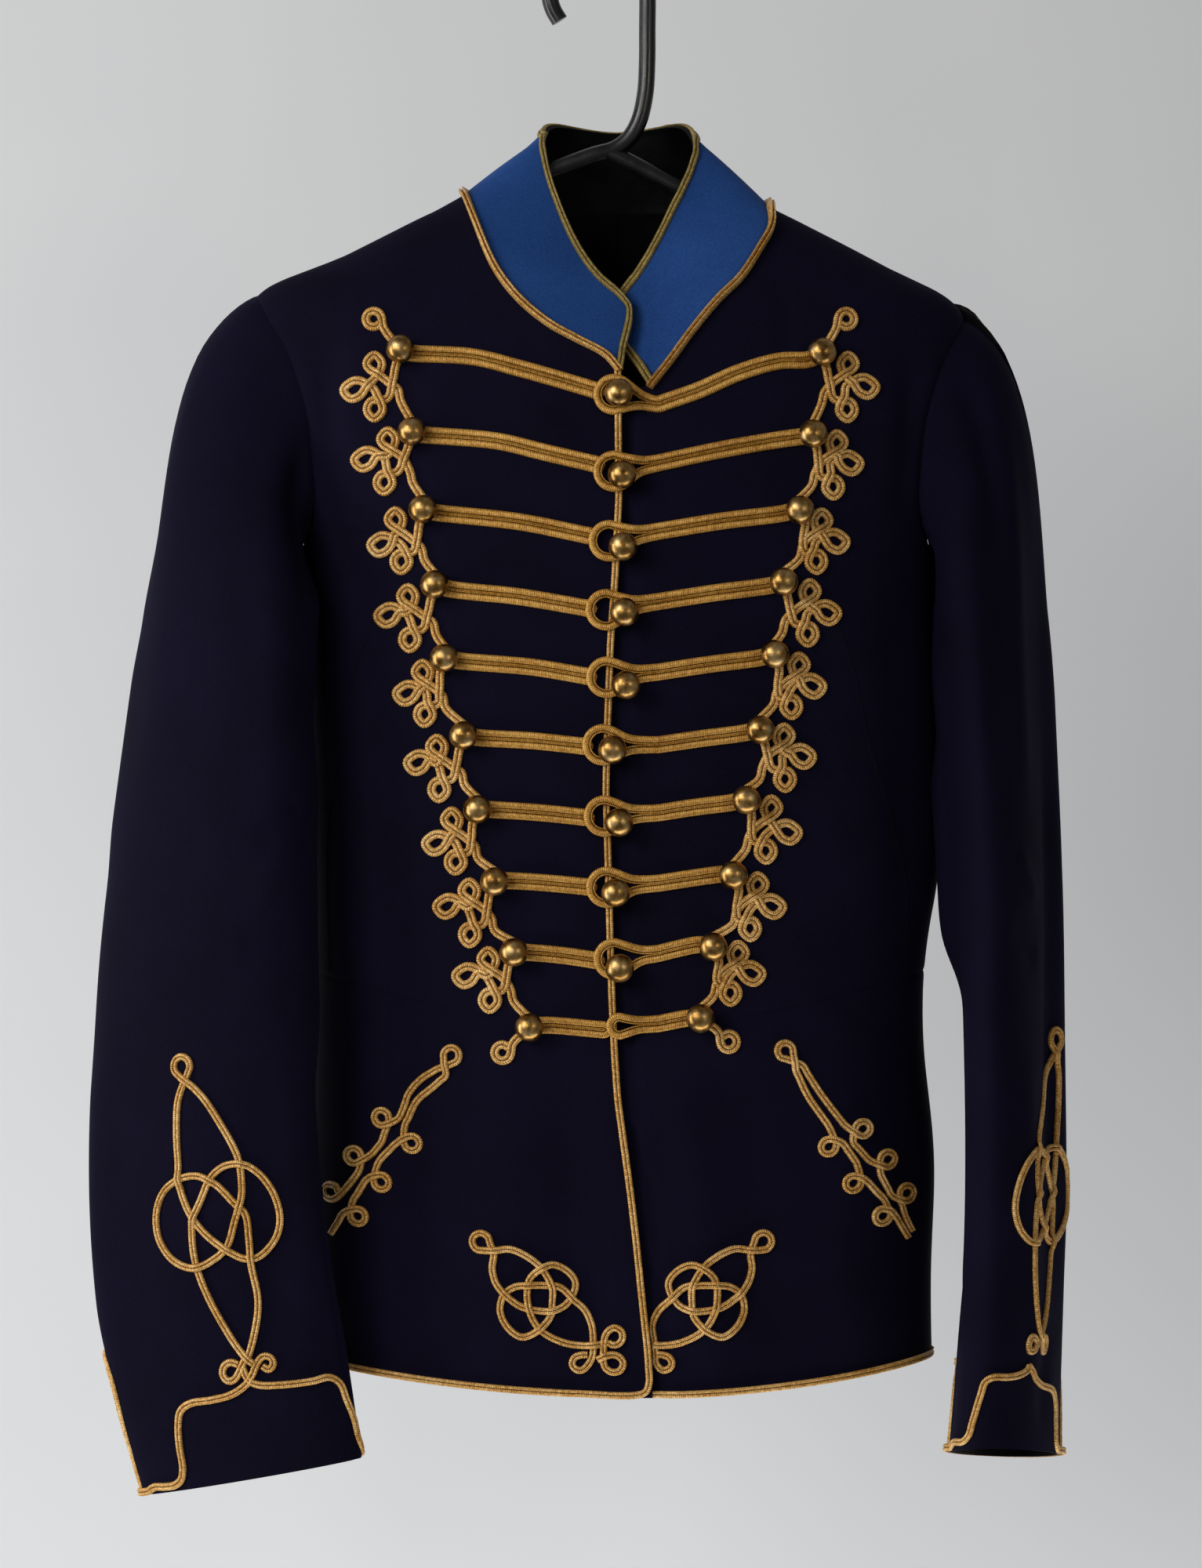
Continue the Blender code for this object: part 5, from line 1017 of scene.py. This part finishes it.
# Loop centres of each trefoil: top, outer, bottom.
LOOPS_LEFT = (((-132.6, -232.2), (-145, -247.2), (-132.1, -258.9)), ((-124.8, -273.9), (-139, -285.5),
    (-126.5, -299.3)), ((-120.5, -317.8), (-130, -332.4), (-117.1, -342.7)), ((-113.6, -359.9), (-126.1, -371.1),
    (-112.4, -385.3)), ((-105.5, -401.2), (-115.8, -413.7), (-104.2, -426.1)), ((-97.7, -442), (-109.8, -451.5),
    (-96.4, -467)), ((-89.6, -481.6), (-99.9, -495.4), (-87.4, -506.5)), ((-80.1, -520.3), (-93.9, -529.8),
    (-79.7, -546.1)), ((-69.8, -557.7), (-83.5, -567.6), (-68.9, -581.8)))
LOOPS_RIGHT = (((126.7, -232.2), (137.9, -245.5), (125.9, -259.3)), ((120.3, -275.6), (128.9, -287.7),
    (118.1, -301.9)), ((111.7, -318.6), (121.1, -330.7), (108.7, -342.7)), ((105.2, -357.3), (116.4, -369.8),
    (103.9, -382.3)), ((99.2, -397.3), (108.2, -409.8), (94.9, -421.8)), ((91, -436), (102.6, -448.1),
    (91.5, -461.4)), ((84.2, -475.1), (94.9, -489.3), (81.1, -500.5)), ((76.8, -516.9), (86.3, -529.8),
    (72.5, -542.7)), ((66.1, -554.3), (75.1, -566.3), (61.8, -577.9)))
BARS_LEFT = (((-109.3, -227.5), (-78, -229.6), (-52.6, -236.1), (-27.2, -243.4), (-10.4, -248.5)),
    ((-102.9, -272.6), (-65.1, -276.1), (-40.1, -282.1), (-10.9, -289)), ((-97.3, -315.2), (-52.6, -320.4),
    (-14.7, -328.1)), ((-90.4, -356.9), (-52.6, -361.2), (-15.2, -367.6)), ((-85.3, -396), (-45.7, -399.5),
    (-15.2, -404.6)), ((-75.4, -437.7), (-45.7, -439.5), (-17.3, -442.5)), ((-67.6, -476.9), (-41.4, -478.6),
    (-16.5, -481.2)), ((-58.2, -515.6), (-37.1, -516.9), (-15.2, -519)), ((-47.4, -554.7), (-28.5, -556.4),
    (-10.9, -559)), ((-40.1, -594.3), (-6.6, -596.8)))
BARS_RIGHT = (((104.4, -230.9), (88.9, -231.8), (67, -238.2), (45, -248.1), (23.1, -255.8)), ((100.1, -273.5),
    (61.8, -279.9), (23.1, -288.1)), ((92.3, -315.2), (57.5, -319.9), (23.1, -325.5)), ((82.4, -355.2),
    (53.2, -359.1), (23.1, -363.8)), ((78.1, -394.3), (48.9, -398.2), (23.1, -402.1)), ((69.5, -435.2),
    (46.7, -438.2), (23.1, -441.6)), ((62.7, -473), (42.4, -475.6), (23.1, -478.6)), ((56.6, -512.1),
    (40.3, -514.3), (23.1, -516.9)), ((45, -550.4), (33.8, -552.5), (23.1, -555.1)), ((39.4, -590.4),
    (23.1, -593.4)))
CENTRE_LOOPS = ((-1.4, -251.1), (-1.4, -293.3), (-4, -331.1), (-5.7, -368.5), (-5.3, -405.1), (-7.4, -441.6),
    (-6.6, -480.3), (-5.3, -519), (-1.4, -558.1), (1.6, -594.7))
SCROLLS = ((-133, -208.1), (125.9, -208.1), (-62, -609.3), (60.9, -603.3))
# The trefoil's cord, place by place: out from and up from the named loop centre or button.
TREFOIL = (
    ("button", 1.5, 0), ("button", 3.8, -8), ("bottom", -7, 6.9), ("bottom", 1.6, 5.6), ("bottom", 3.9, 3),
    ("bottom", 4.1, -0.4), ("bottom", 0.3, -4.2), ("bottom", -4.1, -0.3), ("bottom", -3.8, 3.9),
    ("bottom", -1.5, 8.2), ("outer", -12.4, 0.2), ("outer", -9.7, 2.2), ("outer", -5, 4.9), ("outer", -1, 4.9),
    ("outer", 4.3, 0.2), ("outer", 0.3, -4.8), ("outer", -4.6, -3.3), ("outer", -8.4, 1.5), ("top", 0.2, -9.5),
    ("top", -3, -5.2), ("top", -4.2, 0), ("top", 0, 4.2), ("top", 4.2, -0.3), ("top", 2.6, -3.6),
    ("top", -2.5, -6.8), ("top", -8.4, -11.4), ("button", 2.5, -20.5), ("button", 0.8, -27), ("next", 0.5, 5))
BAR_CORD = 2.4
LOOP_LIFT, LOOP_LEVEL = 2.5, 17.0
THICK = {"half_width": BAR_CORD}
BAR = {**THICK, "height": 2.0, "profile": BAR_PROFILE}


def trefoil(side, button, loops, below):
    centres = {"button": button, "top": loops[0], "outer": loops[1], "bottom": loops[2], "next": below}
    return [(centres[name][0] + side * out, centres[name][1] + up) for name, out, up in TREFOIL]


def scroll(side, button, centre, radius=4.4):
    """A short cord from a button that turns over a centre and ends against itself."""
    up = 1.0 if centre[1] > button[1] else -1.0
    around = [(centre[0] - side * radius * math.cos(a), centre[1] + up * radius * math.sin(a))
              for a in np.radians((12, 50, 90, 130, 180, 228, 275, 318))]
    return [tuple(button), (centre[0] - side * radius * 1.25, centre[1] - up * 5.0)] + around


def beside(line, apart):
    """A line moved to its left-hand side."""
    line = smooth_line(line, 3.0)
    run = unit(np.gradient(line, axis=0))
    return line + np.stack((-run[:, 1], run[:, 0]), axis=1) * apart


def doubled_bar(line, button):
    """The image-left bar: out along its upper edge, turned under the loop and back."""
    line = [button] + list(line)
    upper, lower = beside(line, BAR_CORD - 0.15), beside(line, 0.15 - BAR_CORD)
    run = unit(upper[-1] - upper[-2])
    return list(upper) + [tuple((upper[-1] + lower[-1]) / 2.0 + run * 2.6)] + list(lower[::-1])


def looped_bar(line, button, centre, row):
    """The image-right bar: in along its upper edge, round the centre button and back."""
    line = [button] + list(line)
    upper, lower = beside(line, 0.15 - BAR_CORD), beside(line, BAR_CORD - 0.15)
    radius, apart = (8.9, 3.2) if row < 9 else (4.9, 2.5)
    ring_top = [(centre[0] + radius * math.cos(a), centre[1] + radius * math.sin(a))
                for a in np.radians((62, 90, 122, 152, 180, 208, 238, 270, 298))]
    part = centre[0] + max(radius * 1.62, 10.0)
    lean = (line[-1][1] - centre[1]) / max(line[-1][0] - centre[0], 1.0)
    split = centre[1] + lean * (part - centre[0])
    return list(upper) + [(part, split + apart)] + ring_top + [(part, split - apart)] + list(lower[::-1])


def lifted_over_edge(line):
    past = line[:, 0] - front_edge_x(line[:, 1])
    return LOOP_LIFT * smoothstep((LOOP_LEVEL - past) / 12.0)


for row in range(10):
    for word, side, buttons, loops, ground, scrolls in (
            ("left", -1.0, SIDE_BUTTONS_LEFT, LOOPS_LEFT, front_left_ground, SCROLLS[0::2]),
            ("right", 1.0, SIDE_BUTTONS_RIGHT, LOOPS_RIGHT, front_right_ground, SCROLLS[1::2])):
        button, number = buttons[row], f"{word}_{row + 1:02d}"
        cords = []
        if row < 9:
            cords.append((trefoil(side, button, loops[row], buttons[row + 1]), ground, THICK))
        if row in (0, 9):
            cords.append((scroll(side, button, scrolls[row // 9]), ground, THICK))
        cord_piece(f"frog_cord_{number}", f"frog_{number}", cords)
        if side < 0:
            bar = (doubled_bar(BARS_LEFT[row], button), ground, {**BAR, "outer": -1.0})
        else:
            bar = (looped_bar(BARS_RIGHT[row], button, CENTRE_LOOPS[row], row), ground,
                   {**BAR, "lift": lifted_over_edge})
        cord_piece(f"frog_bar_{number}", f"frog_{number}", [bar], material=gilt_bar)


# Ball buttons
# Hollow brass balls on a wire shank, polished by wear and browned at their backs. One is turned
# on the lathe, and the others are copies of it.
brass = new_material("worn_brass")
tarnish = noise(brass, on_object(brass), 160.0, 5.0, 0.6)
knocks = noise(brass, on_object(brass), 420.0, 2.0)
finish(brass, {"Metallic": 1.0, "Roughness": between(brass, tarnish, 0.35, 0.7, 0.27, 0.42),
               "Base Color": ramp(brass, tarnish, (0.3, "#6c4a22"), (0.5, "#a27d45"), (0.75, "#cfb482")),
               "Normal": bump(brass, knocks, 0.25, 0.0003)})

BALL_RADIUS = 7.8
bpy.ops.mesh.primitive_uv_sphere_add(segments=32, ring_count=20, radius=BALL_RADIUS * MM)
ball_pattern = bpy.context.object
bpy.ops.object.mode_set(mode="EDIT")
bpy.ops.mesh.select_all(action="SELECT")
bpy.ops.transform.resize(value=(1.0, 1.0, 0.9))
bpy.ops.object.mode_set(mode="OBJECT")
bpy.ops.mesh.primitive_cylinder_add(vertices=16, radius=2.4 * MM, depth=5.0 * MM, location=(0.0, 0.0, -7.6 * MM))
shank = bpy.context.object
bpy.ops.object.transform_apply(location=True, rotation=True, scale=True)
choose(ball_pattern, shank)
bpy.ops.object.join()
bpy.ops.object.shade_smooth_by_angle(angle=math.radians(40.0))
ball_pattern.data.materials.append(brass)
SIDE_RISE, CENTRE_RISE = 8.0, 10.0


def ball_button(name, node, spot, ground, height):
    place, normal = ground.under(np.array((spot,)))
    made = ball_pattern.copy()
    made.data = ball_pattern.data.copy()
    made.name = name
    bpy.context.scene.collection.objects.link(made)
    facing = Vector(normal[0]).to_track_quat("Z", "Y").to_matrix().to_4x4()
    made.data.transform(Matrix.Translation(Vector(place[0] + normal[0] * height * MM)) @ facing)
    declare(made, node)


for row in range(10):
    for word, buttons, ground in (("left", SIDE_BUTTONS_LEFT, front_left_ground),
                                  ("right", SIDE_BUTTONS_RIGHT, front_right_ground)):
        number = f"{word}_{row + 1:02d}"
        ball_button(f"side_button_{number}", f"frog_{number}", buttons[row], ground, SIDE_RISE)
for row, spot in enumerate(CENTRE_BUTTONS, start=1):
    ball_button(f"ball_centre_{row}", f"centre_button_{row}", spot,
                front_left_ground if spot[0] < 1.0 else front_right_ground, CENTRE_RISE)
bpy.data.objects.remove(ball_pattern)


# Pocket braids and hem knots
# On the skirts the cord marks the two slanting pockets, with small curls beside it, and ties a
# knot in each front corner.
POCKET_LEFT_ONE = ((-97.3, -618.3), (-106.3, -623.9), (-113.2, -631.7), (-116.7, -641.1), (-121, -648.4),
    (-125.7, -651.9), (-128.3, -658.8), (-135.1, -666.9), (-140.3, -673.8), (-145.9, -683.3))
POCKET_LEFT_TWO = ((-93, -621.8), (-99.9, -628.2), (-108.9, -636), (-114.1, -646.7), (-117.5, -653.6),
    (-120.1, -658.8), (-129.1, -668.6), (-132.6, -675.5), (-136.9, -679.8), (-144.2, -691.4), (-149.3, -698.3),
    (-157.9, -712.5))
POCKET_LEFT_LOOPS = ((-90, -611), (-128.3, -645.4), (-143.7, -666.5), (-156.2, -686.7), (-111.5, -659.2),
    (-128.3, -680.7), (-141.2, -699.6))
POCKET_RIGHT_ONE = ((97.5, -618.8), (104.4, -633.4), (113.4, -646.3), (118.1, -653.2), (123.3, -659.2),
    (130.2, -669.1), (134, -676), (135.8, -679), (143.9, -688), (149.9, -694.9), (152.5, -699.6), (161.6, -714.7))
POCKET_RIGHT_TWO = ((101.4, -616.6), (110.4, -630.8), (119, -642.4), (127.2, -653.2), (128.4, -657.5),
    (134, -664.4), (141.8, -673), (143.9, -676), (152.5, -691), (155.1, -691.9), (158.5, -700.9), (163, -710))
POCKET_RIGHT_LOOPS = ((91.9, -608.5), (134.5, -651.5), (148.2, -668.6), (159, -687.6), (115.5, -660.9),
    (128.9, -681.1), (145.2, -699.6))
HEM_KNOT_A = ((-66.3, -716.8), (-58.2, -716), (-50.4, -719), (-42.7, -724.5), (-38, -730.6), (-35, -737.4),
    (-35, -745.2), (-35.8, -752.1), (-42.7, -760.2), (-51.7, -763.7), (-59.5, -758.1), (-63.3, -749.5),
    (-61.6, -741.3), (-55.6, -736.6), (-47.4, -735.7), (-38.8, -735.7), (-31.1, -736.6), (-23.3, -743.5),
    (-17.3, -749.1), (-13.5, -757.2), (-12.6, -765.8), (-13, -773.6), (-14.4, -776.6))
HEM_KNOT_B = ((-66.8, -719), (-67.6, -726.7), (-65.1, -735.3), (-58.6, -742.6), (-51.7, -747.3), (-42.7, -749.5),
    (-35, -749.5), (-28.1, -746.5), (-23.3, -739.6), (-22.5, -733.6), (-27.2, -727.6), (-35, -724.5),
    (-42.7, -727.6), (-47.4, -732.7), (-48.7, -740.5), (-47.4, -749.5), (-44, -756.8), (-38.8, -762),
    (-28.9, -766.7), (-19.5, -768.4), (-10.4, -768), (-4.5, -767))
HEM_CURL = ((-15, -778.1), (-18.8, -781.7), (-22.5, -781.1), (-24.2, -778), (-22.8, -774.9), (-19.2, -773.6),
    (-15.8, -773.4))
HEM_PAIR = ((-10.4, -776.2), (-5.8, -774), (-1.55, -773.3), (2.3, -775.2), (3.6, -778.5), (1.5, -782),
    (-2.5, -782.7), (-6, -780.4), (-7.2, -776.5), (-7, -771.2), (-6.85, -766.6), (-5.2, -761.3), (-1.55, -758.7),
    (2.2, -760.1), (3.3, -763.9), (1.3, -767.2), (-2.3, -768), (-4.4, -766.6))
HEM_TOP = (-73.7, -712.1)
SMALL = {"half_width": 1.95, "height": 1.75}
CURL_RADIUS, POCKET_TOP, HEM_TOP_CURL, CUFF_TOP_CURL = 3.9, 4.2, 4.6, 5.0
MIRROR = 6.0

for word, one, two, curls, ground in (
        ("left", POCKET_LEFT_ONE, POCKET_LEFT_TWO, POCKET_LEFT_LOOPS, front_left_ground),
        ("right", POCKET_RIGHT_TWO, POCKET_RIGHT_ONE, POCKET_RIGHT_LOOPS, front_right_ground)):
    one, two = with_curls(one, curls[1:4], CURL_RADIUS), with_curls(two, curls[4:], CURL_RADIUS)
    cord_piece(f"pocket_cord_{word}", f"pocket_braid_{word}",
               [(closed_knot(one, curls[0], two, POCKET_TOP), ground, {**SMALL, "later_over": True})])

# The image-right knot mirrors the other, kept clear of the upper front's edge.
knot_a = list(HEM_KNOT_A[:-1]) + list(HEM_CURL)
knot_b = list(HEM_KNOT_B) + [(-6.9, -766.8)]
cord_piece("hem_cord_left", "hem_knot_left", [
    (closed_knot(knot_b, HEM_TOP, knot_a, HEM_TOP_CURL), front_left_ground, SMALL),
    (HEM_PAIR, front_left_ground, {**SMALL, "base": 0.5})])
mirrored_b, (mirrored_top,), mirrored_a = (
    [(MIRROR - x, z) for x, z in line] for line in (HEM_KNOT_B[:-1], (HEM_TOP,), knot_a))
knot = closed_knot(mirrored_b, mirrored_top, mirrored_a, HEM_TOP_CURL)
knot = [(max(x, front_edge_x(z) + BAR_CORD), z) for x, z in knot]
cord_piece("hem_cord_right", "hem_knot_right", [(knot, sunk_ground, SMALL)])


# Cuff knots and cuff braids
# A long knot stands on each sleeve's face above a braid that draws a cuff: along the sleeve's
# edge, up, and over to the foot of the knot.
CUFF_ONE = ((-239.6, -628.2), (-243.1, -639), (-243.9, -657), (-243.1, -672.5), (-242.2, -686.3), (-236.6, -701.8),
    (-227.6, -713.4), (-216, -722), (-206.1, -726.7), (-198.4, -725.4), (-189.3, -715.5), (-186.7, -704.3),
    (-190.2, -690.6), (-198.4, -679.4), (-207.4, -674.2), (-217.3, -675.1), (-225, -681.5), (-230.6, -694),
    (-234.9, -705.2), (-235.3, -716.4), (-233.2, -730.1), (-227.6, -745.6), (-218.6, -762.8), (-209.5, -777),
    (-205, -782), (-201.4, -785))
CUFF_TWO = ((-238.8, -627.8), (-229.7, -636.8), (-220.7, -650.2), (-210.4, -669.5), (-208.2, -681.5),
    (-208.2, -692.7), (-211.7, -705.2), (-216, -719.8), (-222.9, -726.7), (-234, -731.9), (-245.2, -728),
    (-253.4, -716.4), (-255.1, -701.8), (-251.2, -689.7), (-243.1, -682.8), (-233.2, -680.7), (-222.9, -685),
    (-211.7, -696.2), (-206.1, -701.8), (-203.9, -716.4), (-202.7, -730.1), (-199.2, -746.9), (-199.2, -758.1),
    (-204, -780), (-207.1, -784.6), (-209.5, -790.2), (-212.2, -793.9), (-215.8, -794.4), (-218.4, -790.9),
    (-217.4, -786), (-213.9, -784.2), (-210, -785.4))
CUFF_TOP = (-241.1, -619.8)
CUFF_BRAID_OUT = ((-196.4, -786.2), (-193, -788.2), (-190.4, -785.2), (-191.6, -781.8), (-195.6, -780.8),
    (-199.2, -784.4), (-201.8, -790.6), (-205.2, -796.2), (-213.4, -802), (-224.2, -805), (-236.6, -807.1),
    (-241.8, -811.4), (-243.1, -819.6), (-242.2, -832), (-240.5, -842.4), (-241.4, -849.2), (-244.8, -852.3),
    (-250, -853.2), (-256, -853.4))
CUFF_BRAID_IN = ((-207.2, -787), (-205.8, -791.4), (-203, -795), (-197.9, -796.8), (-182.5, -796.4),
    (-168.7, -794.6), (-159.2, -792.5), (-153.6, -795.8), (-150, -805), (-146.2, -815.4))
# One strand of the image-right knot, across its axis and down it; the other mirrors it.
CUFF_STRAND = ((0, 0), (-6.5, 10), (-12, 27), (-16, 44), (-17, 57), (-15, 71), (-9, 84), (0, 95.5), (9, 102),
    (18.5, 103), (28.5, 96), (34, 84.5), (33, 70), (27, 58), (18, 52), (8.5, 52), (-0.5, 57), (-9, 69), (-14.5, 79),
    (-15.5, 92), (-14.5, 109), (-12, 126), (-8, 142), (-1, 155), (4, 160))
RIGHT_CURL = ((7.6, 163.4), (11.4, 163.6), (13, 159.8), (11.2, 156.2), (7.8, 156.2), (5.4, 158.6))
RIGHT_BRAID_IN = ((228.8, -786.2), (227.6, -788.6), (224, -791), (217.5, -792.4), (209, -792.6), (204.8, -795.2),
    (202.8, -801), (200.4, -809), (198, -817.5), (195.8, -825), (192.8, -828.2), (188, -828.6))
RIGHT_BRAID_OUT = ((4, 44), (8, 40), (20, 36.5), (34, 33.5), (39, 27), (40.5, 14), (42, 5.5), (47, 2))
CUFF = {"half_width": 2.0, "height": 1.8}


def seen_on(points, flat, spots):
    """Flat spots on a sleeve behind places measured in the picture."""
    ground = Ground(points, flat, points)
    tree = BVHTree.FromPolygons(ground.points.tolist(), ground.faces.tolist(), all_triangles=True)
    eye = camera.location
    found = []
    for x, z in spots:
        hit, normal, face, distance = tree.ray_cast(eye, Vector(((x + CENTRE_X) * MM, 0.0, z * MM)) - eye)
        if hit is None:
            continue
        a, b, c = (Vector(ground.points[i]) for i in ground.faces[face])
        whole = (b - a).cross(c - a)
        shares = [whole.dot((q - p).cross(hit - p)) for p, q in ((b, c), (c, a), (a, b))]
        found.append(tuple((np.array(shares) / whole.dot(whole)) @ ground.flat[ground.faces[face]]))
    return found


def back_middle(flat, sign):
    """The line down the middle of a sleeve's back, at the end of its flat drawing on that side."""
    return flat[-1, :, 0].min() if sign < 0 else flat[-1, :, 0].max()


def along_edge(flat, end, sign):
    """The braid's way on along the sleeve's edge to the middle of its back."""
    stop, level = back_middle(flat, sign), flat[-1, 0, 1] + 1.9
    return [(x, level) for x in np.arange(end[0] + sign * 6.0, stop, sign * 6.0)] + [(stop, level)]


def riser(flat, foot, lean, top, sign):
    """The braid that stands behind the sleeve, from its edge up and over to the middle of its back."""
    low = flat[-1, 0, 1]
    return [(foot, low + 2.2), (foot + sign * lean * 0.3, low + 14.0), (foot + sign * lean, low + top - 14.0),
            (foot + sign * (lean + 7.0), low + top - 3.0), (back_middle(flat, sign), low + top)]


def cuff_braid(word, flat, ground, strands, risers):
    """A cuff's braid, from its drawn strands and the risers behind, each with the side it runs on to."""
    lines = [line + along_edge(flat, line[-1], sign) for line, sign in strands]
    lines += [riser(flat, *numbers) for numbers in risers]
    cord_piece(f"cuff_edging_{word}", f"cuff_braid_{word}", [(line, ground, CUFF) for line in lines])


left_points, left_flat, left_normals = sleeve_left
sleeve_left_ground = Ground(left_points, left_flat, left_normals)
one, two, (top_loop,), outer_line, inner_line = (
    seen_on(left_points, left_flat, line)
    for line in (CUFF_ONE, CUFF_TWO, (CUFF_TOP,), CUFF_BRAID_OUT, CUFF_BRAID_IN))
knot = closed_knot(one, top_loop, two, CUFF_TOP_CURL)
cord_piece("cuff_cord_left", "cuff_knot_left", [(knot, sleeve_left_ground, CUFF)])
inner_line += [(inner_line[-1][0] + 0.6, -829.0), (inner_line[-1][0] + 3.6, -836.0)]
cuff_braid("left", left_flat, sleeve_left_ground, ((outer_line, -1.0), (inner_line, 1.0)),
           ((-58.0, 4.0, 76.0, -1.0), (inner_line[-1][0] + 12.0, 4.0, 50.0, 1.0)))

# On the image-right sleeve the knot turns away to the sleeve's edge of sight.
right_points, right_flat, right_normals = sleeve_right
sleeve_right_ground = Ground(right_points, right_flat, right_normals)
KNOT_TOP_Z = -606.0
KNOT_AXIS = np.array(((-12.0, 8.0), (0.0, 6.0), (50.0, -13.0), (90.0, -17.5), (180.0, -26.0)))


def on_right_cuff(line, across_sign=1.0):
    """Places of the image-right knot, drawn across and down its axis, on the sleeve's flat."""
    return [(np.interp(down, KNOT_AXIS[:, 0], KNOT_AXIS[:, 1]) + across * across_sign, KNOT_TOP_Z - 6.0 - down)
            for across, down in line]


one, two = (on_right_cuff(CUFF_STRAND, side) + on_right_cuff(RIGHT_CURL, side) for side in (1.0, -1.0))
top_loop = on_right_cuff(((0.0, -8.0),))[0]
knot = closed_knot(one, top_loop, two, CUFF_TOP_CURL)
cord_piece("cuff_cord_right", "cuff_knot_right", [(knot, sleeve_right_ground, CUFF)])
in_line = seen_on(right_points, right_flat, RIGHT_BRAID_IN)
out_line = [in_line[0]] + [(in_line[0][0] + away, right_flat[-1, 0, 1] + up) for away, up in RIGHT_BRAID_OUT]
cuff_braid("right", right_flat, sleeve_right_ground, ((out_line, 1.0), (in_line, -1.0)),
           ((out_line[-1][0] + 30.0, 6.0, 50.0, 1.0), (in_line[-1][0] - 30.0, 6.0, 50.0, -1.0)))


# Dart seams
# Each front is shaped by one long dart, whose seam shows as a faint ridge under its stitches.
dart_thread = woollen("seam_thread", "#08070f", "#12111f", 0.1, "#3a3a60")
DARTS = (
    ("left", "front_right", front_left_ground, ((-133.4, -376.3), (-142, -397.3), (-149, -420), (-153.2, -443.8),
                                                (-157, -470), (-159.2, -500), (-158, -566))),
    ("right", "front_left", front_right_ground, ((122.4, -378.8), (130.5, -405), (137, -437.3), (147, -470),
                                                 (152.5, -491.5), (158, -512), (160, -566))))
for word, node, ground, line in DARTS:
    cord_piece(f"dart_seam_{word}", node, [(line, ground, {"half_width": 0.55, "height": 0.3, "base": 0.02})],
               dart_thread)


# Hanger
# A moulded plastic hanger, black and shiny, scuffed a little. The hook lies over the rail and
# the arms carry the shoulder seams from inside.
plastic = new_material("black_moulded_plastic")
scuffs = noise(plastic, on_object(plastic), 90.0, 6.0, 0.7)
finish(plastic, {"Specular IOR Level": 0.5, "Roughness": between(plastic, scuffs, 0.35, 0.75, 0.24, 0.42),
                 "Base Color": ramp(plastic, scuffs, (0.3, "#070708"), (0.8, "#121214")),
                 "Normal": bump(plastic, scuffs, 0.15, 0.0004)})
HOOK_RADIUS, HOOK_CROWN = 4.75, 27.2
hook = [(-HOOK_CROWN * math.cos(a), HOOK_CROWN * math.sin(a) - HOOK_CROWN + HOOK_RADIUS)
        for a in np.radians(np.linspace(-38.0, 180.0, 15))]
stem = hook + [(27.2, -45.0), (27.1, -62.0), (26.0, -80.0), (22.5, -95.0), (17.0, -104.5), (9.0, -110.5)]


SHOULDER_SEAM = 2.0 + 1.65


def under_shoulder(side):
    """The places of an arm under its shoulder seam."""
    heights = np.linspace(-150.0, -193.0, 6)
    seam = settled(body_at(np.full(6, side * 90.0), heights))
    run = unit(settled(body_at(np.full(6, side * 90.0), heights - 1.0)) - seam)
    inward = np.stack((-side * np.abs(run[:, 2]), np.zeros(6), -np.abs(run[:, 0])), axis=1)
    return [(p[0] / MM, p[2] / MM) for p in seam + inward * (SHOULDER_SEAM + HOOK_RADIUS) * MM]


def rod(name, line):
    """A round bar through places of the hanger's plane."""
    line = smooth_line(line, 3.0)
    bpy.ops.curve.primitive_nurbs_path_add()
    made = bpy.context.object
    made.name = name
    made.data.splines.clear()
    spline = made.data.splines.new("POLY")
    spline.points.add(len(line) - 1)
    for spot, (x, z) in zip(spline.points, line):
        spot.co = (x * MM, 0.0, z * MM, 1.0)
    made.data.bevel_depth = HOOK_RADIUS * MM
    made.data.bevel_resolution = 5
    made.data.use_fill_caps = True
    choose(made)
    bpy.ops.object.convert(target="MESH")
    return bpy.context.object


hanger_rod = rod("hanger_moulding", stem + [(-2.0, -113.6), (-23.0, -121.0), (-50.0, -130.5)] + under_shoulder(-1.0))
arm_rod = rod("hanger_arm", [(6.0, -112.5), (20.0, -119.0), (44.0, -131.5), (70.0, -141.0)] + under_shoulder(1.0))
choose(hanger_rod, arm_rod)
bpy.ops.object.join()
bpy.ops.object.shade_smooth_by_angle(angle=math.radians(45.0))
hanger_rod.data.materials.append(plastic)
declare(hanger_rod, "hanger")
